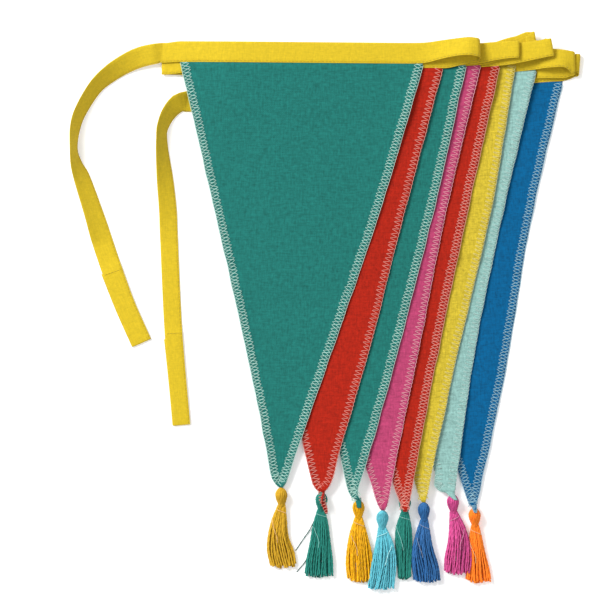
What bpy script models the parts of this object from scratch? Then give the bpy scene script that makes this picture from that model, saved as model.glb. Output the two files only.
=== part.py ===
"""Fabric bunting, folded flat: a mustard tape with two ties, eight pennants and eight yarn tassels.

Seen from above, +X runs right along the tape, +Y from the tassels to the tape, and +Z up from the surface
that the bunting lies on. Sizes are in millimetres, and mesh_object turns them into metres.
"""
import math
import random
from typing import NamedTuple

import bmesh
import bpy
import numpy as np
from mathutils.geometry import delaunay_2d_cdt

MM = 0.001

CLOTH = 1.0             # thickness of the tape and of each pennant
LAYER_GAP = 0.35        # between one layer of cloth and the next
SEAM_GAP = 0.3          # between a tape and the pennant sewn to it, and between a tip and its tassel
TAPE_WIDTH = 14.7
PENNANT_WIDTH = 169.5
TIP_HALF = 2.0          # half the width of a pennant's blunt tip

NET_START = (-220.0, -240.0)  # the net that the layers settle on: its lower left knot,
NET_CELL = (11.0, 30.0)       # the size of its oblongs, short across the pennants and long down them,
NET_CELLS = (40, 15)          # and how many there are each way
SOFTENING_PASSES = 8
TIP_RISE_RADIUS = 22.0
FOLD_LIFT_RADIUS = 20.0
FOLD_STEPS = 4          # flats around the half-round turn of a fold
FOLD_MARGIN = 0.5       # how far past a turn the layers under it still carry it

HEAD_START = 0.1        # extra room between a tip and the head under it
TUCKED_HEIGHT = 3.0     # where a head starts that is tucked under its tip
HEAD_REST = 0.05        # room between a head and the surface
HEAD_PROFILE = (        # share of the length, radius across, radius upwards, share of the way down to rest
    (0.06, 0.36, 0.34, 0.0),
    (0.20, 0.74, 0.72, 0.5),
    (0.42, 1.00, 1.00, 1.0),
    (0.64, 0.95, 0.95, 1.0),
    (0.84, 0.62, 0.66, 0.85),
    (0.94, 0.56, 0.52, 0.72),
)
HEAD_LENGTH = 12.0
HEAD_RADIUS = 4.1
HEAD_SIDES = 12
NECK_RADIUS = (3.1, 2.4)  # across and upwards, where the yarns leave the head
NECK_HEIGHT = 2.9
STRAND_COLUMNS = 6
STRAND_ROWS = 3
STRAND_STEPS = 4
STRAND_SIZE = 1.25      # side of a three-sided strand at its free end
ROOT_SIZE = 0.62        # the same at its root in the head
ROOT_ROW_WIDTHS = (0.64, 0.80, 0.64)  # share of the neck's width that each row of roots takes
ROOT_ROW_RISE = 0.58    # height from row to row of the roots, as a share of the neck's radius
ROOT_DROP = 0.43        # how far a root's base lies below its middle, as a share of its side
TRIANGLE_HEIGHT = 0.866  # of an even three-sided section, for a side of one
STRAND_TRIM = 3.0       # how much shorter than the skirt a strand may be
STRAND_WANDER = 0.15    # how far a strand may stray to the side
FAN_POWER = 0.75        # below one, the strands spread soon after the neck
FALL_SHARE = 0.5        # share of the strand's length over which it comes down to the surface
GROWTH_SHARE = 0.625    # and over which it gets its full size
ROW_RISE = 1.5          # how far each row of strands lies above the one under it

RED = (0.58, 0.024, 0.010)
TEAL = (0.022, 0.215, 0.185)
PINK = (0.60, 0.078, 0.205)
YELLOW = (0.80, 0.58, 0.052)
MINT = (0.31, 0.60, 0.52)
BLUE = (0.002, 0.115, 0.315)
TAPE_COLOUR = (0.80, 0.60, 0.036)


class Pennant(NamedTuple):
    """One pennant and its tassel. Its top edge runs left from its right corner, turned by some degrees."""
    name: str
    colour: tuple
    right_x: float      # the right corner
    right_y: float
    turn: float         # degrees that the top edge rises to the right
    tip_x: float
    tip_y: float
    bow_third: float    # how far the right edge bows out a third of the way down
    bow_low: float      # and two thirds of the way down
    tip_rise: float     # how high the tip is held up by its tassel
    tassel_colour: tuple
    skirt_left: float   # the skirt's free end, from left to right
    skirt_right: float
    skirt_end: float    # and how far down it reaches


class Fold(NamedTuple):
    """A turn of the tape: the line across it where one layer ends and the next begins."""
    top_x: float
    top_y: float
    low_x: float
    low_y: float
    reach: float        # how far the round turn stands out past the line
    lift: float         # how far the upper layer stands off the lower one there


class Station(NamedTuple):
    """A place on a tie's middle line, with the width that it shows from above."""
    x: float
    y: float
    width: float
    seen: float


PENNANTS = (
    Pennant("pennant_1_teal", TEAL, 67.9, 173.2, -0.5, -31.5, -122.8, 3.2, 2.2, 2.6,
            (0.60, 0.35, 0.010), -42.0, -19.6, -180.6),
    Pennant("pennant_2_red", RED, 81.5, 170.5, 0.7, -3.0, -126.0, 1.1, 2.9, 2.6,
            (0.012, 0.215, 0.170), -16.1, 5.6, -186.9),
    Pennant("pennant_3_teal", TEAL, 97.7, 172.5, 2.4, 22.6, -131.6, 2.0, 1.4, 2.6,
            (0.90, 0.46, 0.008), 12.6, 30.0, -190.4),
    Pennant("pennant_4_pink", PINK, 108.0, 172.5, 3.8, 39.6, -138.6, -2.1, -0.3, 2.6,
            (0.115, 0.50, 0.60), 30.9, 48.6, -196.0),
    Pennant("pennant_5_red", RED, 121.2, 172.0, 4.2, 55.1, -139.5, -1.3, -1.4, 7.7,
            (0.012, 0.215, 0.170), 49.3, 59.3, -187.6),
    Pennant("pennant_6_yellow", YELLOW, 132.5, 172.9, 4.3, 68.1, -133.0, 3.6, 1.0, 2.6,
            (0.030, 0.120, 0.360), 60.2, 81.2, -190.4),
    Pennant("pennant_7_mint", MINT, 146.8, 169.0, 4.6, 88.4, -127.5, -3.9, -4.9, 2.6,
            (0.72, 0.070, 0.280), 82.2, 99.2, -184.1),
    Pennant("pennant_8_blue", BLUE, 165.4, 160.3, 4.2, 103.6, -137.0, -2.5, 1.1, 2.6,
            (0.98, 0.235, 0.010), 100.0, 116.9, -190.4),
)
TURNED_HEM = {"pennant_7_mint": (74.5, -122.5)}  # its tip is turned under along a line to this point
HEAD_UNDER_TIP = {"pennant_5_red": 11.5}         # how far this head is tucked under the tip
UPPER_OF_A_FOLD = ("pennant_1_teal", "pennant_3_teal", "pennant_5_red", "pennant_7_mint")

# The turns between neighbouring layers, from the top of the stack down.
FOLD_A = Fold(103.4, 190.6, 103.8, 176.4, 3.2, 5.0)
FOLD_LEFT_1 = Fold(-113.5, 180.6, -113.5, 165.9, 1.6, 0.0)
FOLD_B = Fold(133.4, 189.4, 133.4, 177.4, 1.8, 0.8)
FOLD_LEFT_2 = Fold(-85.8, 172.7, -85.8, 158.0, 1.6, 0.0)
FOLD_D = Fold(155.6, 191.0, 157.8, 178.6, 1.8, 1.2)
PLEAT_D = Fold(140.6, 193.4, 142.0, 180.0, 1.4, 0.0)
FOLD_C = Fold(144.6, 195.8, 146.6, 182.0, 1.4, 0.8)
FOLD_LEFT_3 = Fold(-60.7, 170.0, -60.7, 155.3, 1.6, 0.0)
FOLD_E = Fold(171.4, 182.0, 171.4, 169.2, 2.8, 3.2)
PLEAT_E = Fold(163.4, 180.6, 163.4, 166.4, 1.4, 0.0)
FOLD_F = Fold(175.8, 180.6, 174.0, 166.2, 2.4, 1.4)
TIE_ONE_START = Fold(-114.8, 188.3, -116.2, 174.3, 0.0, 0.0)
TIE_TWO_START = Fold(-98.0, 154.6, -98.0, 140.0, 0.0, 0.0)

TIE_ONE = (
    Station(-128.8, 178.5, 14.7, 14.4),
    Station(-139.6, 173.9, 14.7, 13.4),
    Station(-151.2, 166.6, 14.7, 12.0),
    Station(-161.7, 156.8, 14.7, 9.8),
    Station(-171.5, 140.7, 14.7, 8.4),
    Station(-175.4, 128.8, 14.7, 6.8),
    Station(-176.4, 114.1, 14.7, 4.8),
    Station(-174.4, 103.0, 14.7, 8.0),
    Station(-170.8, 93.8, 14.7, 11.2),
    Station(-162.4, 68.6, 14.7, 13.2),
    Station(-156.8, 50.4, 14.7, 14.7),
    Station(-150.0, 30.2, 14.7, 14.7),
    Station(-140.6, 4.6, 14.7, 14.7),
    Station(-129.3, -21.0, 14.7, 14.7),
)
TIE_TWO = (
    Station(-104.0, 145.6, 14.7, 12.6),
    Station(-110.6, 138.0, 14.7, 10.0),
    Station(-114.4, 129.0, 14.7, 7.8),
    Station(-115.0, 123.2, 14.4, 7.2),
    Station(-114.6, 112.2, 14.0, 8.6),
    Station(-112.6, 92.4, 13.4, 11.4),
    Station(-110.6, 70.7, 12.9, 12.4),
    Station(-109.8, 50.4, 12.6, 12.6),
    Station(-106.8, -12.6, 12.6, 12.6),
    Station(-101.2, -78.4, 12.6, 12.6),
)
TIE_ONE_HEM = 55.0      # the length of the end that is turned back and sewn
TIE_TWO_HEM = 63.5
TIE_STEP = 9.0          # distance between the sections of a tie
TIE_CURVE_STEPS = 12    # points between two stations on the curve that the sections are read from
TIE_ONE_FALL = 4        # sections over which each tie comes down to the surface
TIE_TWO_FALL = 3
HEM_STEP = 0.1          # length of the step up to the doubled end


def unit(vector):
    """Return the vector at length one."""
    return vector / np.linalg.norm(vector)


def smooth_between(start, end, start_way, end_way, steps=4):
    """Return the points between two places on a soft curve that leaves and arrives in the given directions."""
    start, end = np.array(start), np.array(end)
    reach = np.linalg.norm(end - start)
    points = []
    for step in range(1, steps):
        t = step / steps
        a, b = 2 * t ** 3 - 3 * t ** 2 + 1, t ** 3 - 2 * t ** 2 + t
        c, d = -2 * t ** 3 + 3 * t ** 2, t ** 3 - t ** 2
        points.append(a * start + b * reach * start_way + c * end + d * reach * end_way)
    return points


class Net:
    """A net of oblongs, each split along one diagonal, with a height at every knot."""

    def __init__(self):
        self.xs = NET_START[0] + NET_CELL[0] * np.arange(NET_CELLS[0] + 1)
        self.ys = NET_START[1] + NET_CELL[1] * np.arange(NET_CELLS[1] + 1)
        self.top = np.zeros((len(self.xs), len(self.ys)))

    def covered(self, outlines):
        """Return the knots of every oblong that one of the outlines touches."""
        mask = np.zeros(self.top.shape, bool)
        for outline in outlines:
            for column, row in np.floor((filled_points(outline) - NET_START) / NET_CELL).astype(int):
                mask[column:column + 2, row:row + 2] = True
        return mask

    def settle(self, lifts):
        """Lay a soft layer on what is there, raised by (x, y, rise, radius) bumps, and return its heights."""
        height = self.top.copy()
        for x, y, rise, radius in lifts:
            away = (self.xs[:, None] - x) ** 2 + (self.ys[None, :] - y) ** 2
            height += rise * np.exp(-away / radius ** 2)
        floor = height.copy()
        for _ in range(SOFTENING_PASSES):
            edge = np.pad(height, 1, mode="edge")
            mean = (edge[:-2, 1:-1] + edge[2:, 1:-1] + edge[1:-1, :-2] + edge[1:-1, 2:]) / 4
            height = np.maximum(floor, (height + mean) / 2)
        return height

    def height_at(self, heights, x, y):
        """Return the height of the net's flat triangle over a place."""
        column, row = (x - NET_START[0]) / NET_CELL[0], (y - NET_START[1]) / NET_CELL[1]
        i, j = int(column), int(row)
        u, v = column - i, row - j
        near, far = heights[i, j], heights[i + 1, j + 1]
        if u >= v:
            corner = heights[i + 1, j]
            return near + u * (corner - near) + v * (far - corner)
        corner = heights[i, j + 1]
        return near + v * (corner - near) + u * (far - corner)


def filled_points(outline, step=3.0):
    """Return points all over an outline: along its edges and on a fine grid inside it."""
    corners = np.array(outline)
    points = []
    for start, end in zip(corners, np.roll(corners, -1, axis=0)):
        count = max(2, int(np.linalg.norm(end - start) / step))
        points.extend(start + (end - start) * t for t in np.linspace(0, 1, count))
    low, high = corners.min(axis=0), corners.max(axis=0)
    for x in np.arange(low[0], high[0], step):
        for y in np.arange(low[1], high[1], step):
            if inside(corners, x, y):
                points.append(np.array((x, y)))
    return np.array(points)


def inside(corners, x, y):
    """Tell whether a place is inside an outline."""
    found = False
    for (x0, y0), (x1, y1) in zip(corners, np.roll(corners, -1, axis=0)):
        if (y0 > y) != (y1 > y) and x < (x1 - x0) * (y - y0) / (y1 - y0) + x0:
            found = not found
    return found


def net_triangles(outline):
    """Cut the net's triangles with an outline, and return the plan points and the triangles inside it."""
    corners = np.array(outline)
    points = [tuple(corner) for corner in corners]
    edges = [(i, (i + 1) % len(points)) for i in range(len(points))]
    first = np.floor((corners.min(axis=0) - NET_START) / NET_CELL)
    columns, rows = (np.floor((corners.max(axis=0) - NET_START) / NET_CELL) - first + 1).astype(int)

    def line(*knots):
        points.extend(tuple(NET_START + (first + knot) * NET_CELL) for knot in knots)
        edges.append((len(points) - 2, len(points) - 1))

    for column in range(columns + 1):
        line((column, 0), (column, rows))
    for row in range(rows + 1):
        line((0, row), (columns, row))
    for diagonal in range(1 - rows, columns):
        column, row = max(0, diagonal), max(0, -diagonal)
        length = min(columns - column, rows - row)
        line((column, row), (column + length, row + length))
    flat, _, faces, *_ = delaunay_2d_cdt(points, edges, [], 0, 1e-4)
    kept = []
    for face in faces:
        middle = sum(np.array(flat[i]) for i in face) / len(face)
        if inside(corners, *middle):
            kept.append(tuple(face))
    return [np.array(point) for point in flat], kept


class Solid:
    """The points and faces of one closed body."""

    def __init__(self):
        self.points = []
        self.faces = []

    def point(self, place):
        self.points.append(tuple(place))
        return len(self.points) - 1

    def face(self, *corners):
        distinct = [c for i, c in enumerate(corners) if c != corners[i - 1]]
        if len(distinct) > 2:
            self.faces.append(tuple(distinct))

    def sheet(self, net, heights, outline, open_lines=()):
        """Add a sheet of cloth over an outline. It stays open along the lines, whose points are returned."""
        flat, triangles = net_triangles(outline)
        upper, lower = {}, {}
        for i in sorted({i for triangle in triangles for i in triangle}):
            x, y = flat[i]
            z = net.height_at(heights, x, y)
            lower[i] = self.point((x, y, z))
            upper[i] = self.point((x, y, z + CLOTH))
        rim = {}
        for a, b, c in triangles:
            self.face(upper[a], upper[b], upper[c])
            self.face(lower[c], lower[b], lower[a])
            for pair in ((a, b), (b, c), (c, a)):
                rim[pair] = rim.get(pair[::-1]) is None
                if not rim[pair]:
                    rim[pair[::-1]] = False
        ends = [[] for _ in open_lines]
        for (a, b), is_rim in rim.items():
            if not is_rim:
                continue
            line = next((n for n, ends_line in enumerate(open_lines)
                         if on_line(flat[a], ends_line) and on_line(flat[b], ends_line)), None)
            if line is None:
                self.face(lower[a], lower[b], upper[b], upper[a])
            else:
                ends[line].extend((a, b))
        result = []
        for line, found in zip(open_lines, ends):
            start = np.array(line[0])
            ordered = sorted(set(found), key=lambda i: np.linalg.norm(flat[i] - start))
            result.append([(flat[i], upper[i], lower[i]) for i in ordered])
        return result

    def sleeve(self, first, second):
        """Join two sections of a strip, each a row of (upper, lower) points across it, with four walls."""
        for (u0, l0), (u1, l1), (v0, m0), (v1, m1) in zip(first, first[1:], second, second[1:]):
            self.face(u0, v0, v1, u1)
            self.face(l0, l1, m1, m0)
        for (u, l), (v, m) in ((first[0], second[0]), (second[-1], first[-1])):
            self.face(u, l, m, v)

    def cap(self, section):
        """Close a strip at a section."""
        for (u0, l0), (u1, l1) in zip(section, section[1:]):
            self.face(u0, l0, l1, u1)


def on_line(place, line):
    """Tell whether a place lies on the line between two points."""
    start, end = np.array(line[0]), np.array(line[1])
    way = unit(end - start)
    along = (place - start) @ way
    across = abs(way[0] * (place - start)[1] - way[1] * (place - start)[0])
    return across < 1e-3 and -1e-3 < along < np.linalg.norm(end - start) + 1e-3


def mesh_object(name, solid, colour, roughness=0.85):
    """Turn a solid into an object with its own material, with its faces pointing out."""
    mesh = bpy.data.meshes.new(name)
    mesh.from_pydata([tuple(MM * value for value in point) for point in solid.points], [], solid.faces)
    shell = bmesh.new()
    shell.from_mesh(mesh)
    bmesh.ops.recalc_face_normals(shell, faces=shell.faces)
    shell.to_mesh(mesh)
    shell.free()
    material = bpy.data.materials.new(name)
    material.use_nodes = True
    finish = material.node_tree.nodes["Principled BSDF"]
    finish.inputs["Base Color"].default_value = (*colour, 1.0)
    finish.inputs["Roughness"].default_value = roughness
    finish.inputs["Metallic"].default_value = 0.0
    mesh.materials.append(material)
    item = bpy.data.objects.new(name, mesh)
    bpy.context.scene.collection.objects.link(item)
    return item


def top_edge(pennant):
    """Return a pennant's left corner, its right corner and the direction of its top edge."""
    turn = math.radians(pennant.turn)
    way = np.array((math.cos(turn), math.sin(turn)))
    right = np.array((pennant.right_x, pennant.right_y))
    return right - way * PENNANT_WIDTH, right, way


def pennant_outline(pennant):
    """Return a pennant's outline, anticlockwise from its left corner."""
    left, right, way = top_edge(pennant)
    up = np.array((-way[1], way[0]))
    left, right = left - up * SEAM_GAP, right - up * SEAM_GAP
    tip = np.array((pennant.tip_x, pennant.tip_y))
    tip_left, tip_right = tip - (TIP_HALF, 0), tip + (TIP_HALF, 0)
    if pennant.name in TURNED_HEM:
        tip_left = np.array(TURNED_HEM[pennant.name])
    down = tip_right - right
    out = unit(np.array((-down[1], down[0])))
    edge = []
    for t in (1 / 3, 2 / 3):
        bow = pennant.bow_third if t < 0.5 else pennant.bow_low
        edge.append(right + down * t + out * bow)
    curve = [right] + smooth_curve([right, *edge, tip_right], 2)[1:-1] + [tip_right]
    return [left, tip_left, *curve[::-1]]


def smooth_curve(places, steps):
    """Return points on a soft curve through the places, with a number of steps between neighbours."""
    places = [np.array(place, float) for place in places]
    padded = [2 * places[0] - places[1], *places, 2 * places[-1] - places[-2]]
    curve = []
    for p0, p1, p2, p3 in zip(padded, padded[1:], padded[2:], padded[3:]):
        for step in range(steps):
            t = step / steps
            curve.append(0.5 * (2 * p1 + (p2 - p0) * t + (2 * p0 - 5 * p1 + 4 * p2 - p3) * t ** 2
                                + (3 * p1 - p0 - 3 * p2 + p3) * t ** 3))
    return curve + [places[-1]]


def fold_line(fold):
    """Return a fold's two ends, the upper one first."""
    return (fold.top_x, fold.top_y), (fold.low_x, fold.low_y)


def fold_way(fold, side):
    """Return the direction in which a fold's round turn stands out, to the right or left by side."""
    top, low = (np.array(end) for end in fold_line(fold))
    way = unit(np.array((top - low)[::-1]) * (1, -1))
    return way * side * math.copysign(1, way[0])


def leg_outline(pennant, left_fold, right_fold):
    """Return the outline of a layer of tape from one fold, along a pennant's top edge, to the other."""
    left, right, way = top_edge(pennant)
    up = np.array((-way[1], way[0])) * TAPE_WIDTH
    (left_top, left_low), (right_top, right_low) = fold_line(left_fold), fold_line(right_fold)
    out_left, out_right = -fold_way(left_fold, -1), fold_way(right_fold, 1)
    lower = [left_low, *smooth_between(left_low, left, out_left, way, 3), left, right,
             *smooth_between(right, right_low, way, out_right), right_low]
    upper = [right_top, *smooth_between(right_top, right + up, -out_right, -way), right + up, left + up,
             *smooth_between(left + up, left_top, -way, -out_left, 3), left_top]
    return [np.array(place) for place in lower + upper]


def strip_outline(left_fold, right_fold):
    """Return the outline of a short layer of tape between two folds."""
    (left_top, left_low), (right_top, right_low) = fold_line(left_fold), fold_line(right_fold)
    return [np.array(place) for place in (left_low, right_low, right_top, left_top)]


def grown(outline, fold, side):
    """Return an outline with the ends of one fold moved out over its round turn."""
    ends = [np.array(end) for end in fold_line(fold)]
    shift = fold_way(fold, side) * (fold.reach + FOLD_MARGIN)
    return [place + shift if any(np.allclose(place, end) for end in ends) else place for place in outline]


def layers():
    """Return the layers from the bottom up: its pennant or None, its outline and its left and right folds."""
    p = PENNANTS
    order = (
        (p[7], TIE_TWO_START, FOLD_F), (None, PLEAT_E, FOLD_F), (None, PLEAT_E, FOLD_E),
        (p[6], FOLD_LEFT_3, FOLD_E), (p[5], FOLD_LEFT_3, FOLD_C), (None, PLEAT_D, FOLD_C),
        (None, PLEAT_D, FOLD_D), (p[4], FOLD_LEFT_2, FOLD_D), (p[3], FOLD_LEFT_2, FOLD_B),
        (p[2], FOLD_LEFT_1, FOLD_B), (p[1], FOLD_LEFT_1, FOLD_A), (p[0], TIE_ONE_START, FOLD_A),
    )
    for pennant, left_fold, right_fold in order:
        if pennant:
            yield pennant, leg_outline(pennant, left_fold, right_fold), left_fold, right_fold
        else:
            yield None, strip_outline(left_fold, right_fold), left_fold, right_fold


def add_turn(solid, lower_end, upper_end, fold, side):
    """Join the open ends of two layers at a fold with a half-round turn."""
    way = fold_way(fold, side)
    previous = [(upper[1], upper[2]) for upper in upper_end]
    for step in range(1, FOLD_STEPS + 1):
        angle = math.pi / 2 - math.pi * step / FOLD_STEPS
        section = []
        for (place, top_a, bottom_a), (_, top_b, bottom_b) in zip(upper_end, lower_end):
            high, inner_high = solid.points[top_a][2], solid.points[bottom_a][2]
            low, inner_low = solid.points[bottom_b][2], solid.points[top_b][2]
            if step == FOLD_STEPS:
                section.append((bottom_b, top_b))
                continue
            outer = place + way * fold.reach * math.cos(angle)
            inner = place + way * (fold.reach - CLOTH) * math.cos(angle)
            section.append((
                solid.point((*outer, (high + low) / 2 + (high - low) / 2 * math.sin(angle))),
                solid.point((*inner, (inner_high + inner_low) / 2
                             + (inner_high - inner_low) / 2 * math.sin(angle)))))
        solid.sleeve(*((previous, section) if side > 0 else (section, previous)))
        previous = section


def tie_sections(start_end, stations, hem):
    """Return a tie's sections as (middle, way, width, seen width, thickness)."""
    places = np.array([place for place, _, _ in start_end])
    first = (places[0] + places[-1]) / 2
    rows = [(*first, TAPE_WIDTH, np.linalg.norm(places[0] - places[-1]))]
    rows += [tuple(station) for station in stations]
    fine = np.array(smooth_curve(rows, TIE_CURVE_STEPS))
    steps = np.linalg.norm(np.diff(fine[:, :2], axis=0), axis=1)
    along = np.concatenate(([0.0], np.cumsum(steps)))
    total = along[-1]
    single = total - hem
    wanted = [*np.linspace(0, single, int(single / TIE_STEP) + 1)[1:], single + HEM_STEP,
              *np.linspace(single, total, int(hem / TIE_STEP) + 1)[1:]]
    sections = []
    for distance in wanted:
        values = [np.interp(distance, along, fine[:, n]) for n in range(4)]
        ahead = np.array([np.interp(distance + 1, along, fine[:, n]) for n in (0, 1)])
        behind = np.array([np.interp(distance - 1, along, fine[:, n]) for n in (0, 1)])
        thick = CLOTH if distance < single + HEM_STEP / 2 else 2 * CLOTH
        sections.append((np.array(values[:2]), unit(ahead - behind), values[2], min(values[3], values[2]),
                         thick))
    return sections


def add_tie(solid, start_end, stations, hem, fall_sections):
    """Add a tie from a layer's open left end. Its outer edge stands up where it shows narrow."""
    previous = [(upper, lower) for _, upper, lower in start_end]
    start_heights = [solid.points[lower][2] for _, _, lower in start_end]
    places = [place for place, _, _ in start_end]
    shares = [np.linalg.norm(place - places[-1]) / np.linalg.norm(places[0] - places[-1]) for place in places]
    for number, (middle, way, width, seen, thick) in enumerate(tie_sections(start_end, stations, hem)):
        outward = np.array((way[1], -way[0]))
        tilt = math.acos(seen / width)
        fall = max(0.0, 1 - (number + 1) / fall_sections)
        section = []
        for share, start_height in zip(shares, start_heights):
            across = (share - 0.5) * seen
            height = share * width * math.sin(tilt) + start_height * fall ** 2 * (3 - 2 * fall)
            lower = np.array((*(middle + outward * across), height))
            normal = np.array((*(-outward * math.sin(tilt)), math.cos(tilt)))
            section.append((solid.point(lower + normal * thick), solid.point(lower)))
        solid.sleeve(section, previous)
        previous = section
    solid.cap(previous[::-1])


def make_tape_and_pennants():
    """Stack the layers, and build the tape as one strip and each pennant as a sheet. Return the tips' heights."""
    net = Net()
    tape = Solid()
    open_ends = {}
    tips = {}
    pennant_solids = []
    for pennant, outline, left_fold, right_fold in layers():
        footprint = grown(grown(outline, right_fold, 1), left_fold, -1)
        lifts, outlines = [], [footprint]
        if pennant:
            outlines.append(pennant_outline(pennant))
            lifts.append((pennant.tip_x, pennant.tip_y, pennant.tip_rise, TIP_RISE_RADIUS))
            if pennant.name in UPPER_OF_A_FOLD:
                lifts.append((right_fold.low_x, right_fold.low_y, right_fold.lift, FOLD_LIFT_RADIUS))
        heights = net.settle(lifts)
        lines = (fold_line(left_fold), fold_line(right_fold))
        left_end, right_end = tape.sheet(net, heights, outline, lines)
        for fold, end, side in ((left_fold, left_end, -1), (right_fold, right_end, 1)):
            if fold in (TIE_ONE_START, TIE_TWO_START):
                open_ends[fold] = end
            elif fold in open_ends:
                add_turn(tape, open_ends[fold], end, fold, side)
            else:
                open_ends[fold] = end
        if pennant:
            solid = Solid()
            solid.sheet(net, heights, outlines[1])
            pennant_solids.append((pennant, solid))
            tips[pennant.name] = net.height_at(heights, pennant.tip_x, pennant.tip_y)
        mask = net.covered(outlines)
        net.top[mask] = heights[mask] + CLOTH + LAYER_GAP
    add_tie(tape, open_ends[TIE_ONE_START], TIE_ONE, TIE_ONE_HEM, TIE_ONE_FALL)
    add_tie(tape, open_ends[TIE_TWO_START], TIE_TWO, TIE_TWO_HEM, TIE_TWO_FALL)
    mesh_object("tape_with_ties", tape, TAPE_COLOUR)
    for pennant, solid in pennant_solids:
        mesh_object(pennant.name, solid, pennant.colour)
    return tips


def head_rings(start, way, start_height):
    """Return a tassel head's rings as (middle, across radius, upright radius)."""
    rings = []
    for share, across, upright, settled in HEAD_PROFILE:
        height = start_height + (HEAD_RADIUS + HEAD_REST - start_height) * settled
        height = max(height, HEAD_RADIUS * upright + HEAD_REST)
        rings.append((start + way * HEAD_LENGTH * share, height, HEAD_RADIUS * across, HEAD_RADIUS * upright))
    rings.append((start + way * HEAD_LENGTH, NECK_HEIGHT, *NECK_RADIUS))
    return rings


def make_tassel(pennant, tip_height, number):
    """Make a tassel: its head at the pennant's tip, and its strands spread level on the surface."""
    rng = random.Random(number)
    solid = Solid()
    tip = np.array((pennant.tip_x, pennant.tip_y))
    end_middle = np.array(((pennant.skirt_left + pennant.skirt_right) / 2, pennant.skirt_end))
    tuck = HEAD_UNDER_TIP.get(pennant.name, 0.0)
    way = unit(end_middle - tip)
    start = tip + way * (SEAM_GAP - tuck + HEAD_START)
    if tuck:
        way = unit(end_middle - start)
    side = np.array((-way[1], way[0]))
    start_height = TUCKED_HEIGHT if tuck else tip_height + CLOTH / 2
    rings = head_rings(start, way, start_height)
    pole = solid.point((*start, start_height))
    previous = None
    for middle, height, across, upright in rings:
        ring = []
        for k in range(HEAD_SIDES):
            angle = 2 * math.pi * k / HEAD_SIDES
            place = middle + side * across * math.cos(angle)
            ring.append(solid.point((*place, height + upright * math.sin(angle))))
        for k in range(HEAD_SIDES):
            after = (k + 1) % HEAD_SIDES
            if previous is None:
                solid.face(pole, ring[k], ring[after])
            else:
                solid.face(previous[k], ring[k], ring[after], previous[after])
        previous = ring
    roots = add_neck_face(solid, previous, rings[-1], side)
    end_width = pennant.skirt_right - pennant.skirt_left
    length = np.linalg.norm(end_middle - rings[-1][0])
    for column, row, root in roots:
        share = (column + (row + 0.5) / STRAND_ROWS) / STRAND_COLUMNS - 0.5
        reach = length - rng.uniform(0.0, STRAND_TRIM)
        add_strand(solid, root, rings[-1][0], way, side, share * (end_width - STRAND_SIZE), reach, row,
                   rng.uniform(-STRAND_WANDER, STRAND_WANDER))
    mesh_object(pennant.name.replace("pennant", "tassel").rsplit("_", 1)[0], solid, pennant.tassel_colour, 0.6)


def root_corners(column, row):
    """Return a strand root's three corners in the neck's own plane, across and upwards, from its middle."""
    row_width = ROOT_ROW_WIDTHS[row] * 2 * NECK_RADIUS[0]
    across = ((column + 0.5) / STRAND_COLUMNS - 0.5) * row_width
    upright = (row - (STRAND_ROWS - 1) / 2) * NECK_RADIUS[1] * ROOT_ROW_RISE
    return strand_section(across, upright - ROOT_SIZE * ROOT_DROP, ROOT_SIZE)


def strand_section(across, base, size):
    """Return a strand's flat-based three-sided section, with its base at a height."""
    return ((across - size / 2, base), (across + size / 2, base), (across, base + size * TRIANGLE_HEIGHT))


def add_neck_face(solid, ring, neck, side):
    """Close the neck with a flat face that leaves the strands' roots open, and return the roots."""
    middle, height, across, upright = neck
    flat = []
    for k in range(HEAD_SIDES):
        angle = 2 * math.pi * k / HEAD_SIDES
        flat.append((across * math.cos(angle), upright * math.sin(angle)))
    edges = [(k, (k + 1) % HEAD_SIDES) for k in range(HEAD_SIDES)]
    owners = list(ring)
    roots = []
    for row in range(STRAND_ROWS):
        for column in range(STRAND_COLUMNS):
            first = len(flat)
            corners = root_corners(column, row)
            flat.extend(corners)
            edges.extend(((first, first + 1), (first + 1, first + 2), (first + 2, first)))
            places = [solid.point((*(middle + side * a), height + u)) for a, u in corners]
            owners.extend(places)
            roots.append((column, row, places))
    points, _, faces, sources, *_ = delaunay_2d_cdt(flat, edges, [], 0, 1e-5)
    triangles = [np.array(root_corners(column, row)) for column, row, _ in roots]
    for face in faces:
        middle_point = sum(np.array(points[i]) for i in face) / len(face)
        if not any(inside(triangle, *middle_point) for triangle in triangles):
            corners = [owners[sources[i][0]] for i in face]
            solid.face(*corners[::-1])
    return roots


def add_strand(solid, root, neck_middle, way, side, spread, reach, row, wander):
    """Grow a strand from its root out to its place on the surface."""
    root_places = np.array([solid.points[i] for i in root])
    root_across = float(np.mean((root_places[:, :2] - neck_middle) @ side))
    root_base = root_places[:, 2].min()
    base_end = row * ROW_RISE
    previous = root
    for step in range(1, STRAND_STEPS + 1):
        t = step / STRAND_STEPS
        fan = t ** FAN_POWER
        fall = min(1.0, t / FALL_SHARE)
        fall = fall * fall * (3 - 2 * fall)
        size = ROOT_SIZE + (STRAND_SIZE - ROOT_SIZE) * min(1.0, t / GROWTH_SHARE)
        across = root_across + (spread - root_across) * fan + wander * math.sin(math.pi * t)
        base = root_base + (base_end - root_base) * fall
        middle = neck_middle + way * reach * t
        section = [solid.point((*(middle + side * a), u)) for a, u in strand_section(across, base, size)]
        for k in range(3):
            after = (k + 1) % 3
            solid.face(previous[k], section[k], section[after], previous[after])
        previous = section
    solid.face(*previous)


def main():
    """Clear the scene and build the bunting."""
    for item in list(bpy.data.objects):
        bpy.data.objects.remove(item, do_unlink=True)
    tips = make_tape_and_pennants()
    for number, pennant in enumerate(PENNANTS, 1):
        make_tassel(pennant, tips[pennant.name], number)


main()
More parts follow.
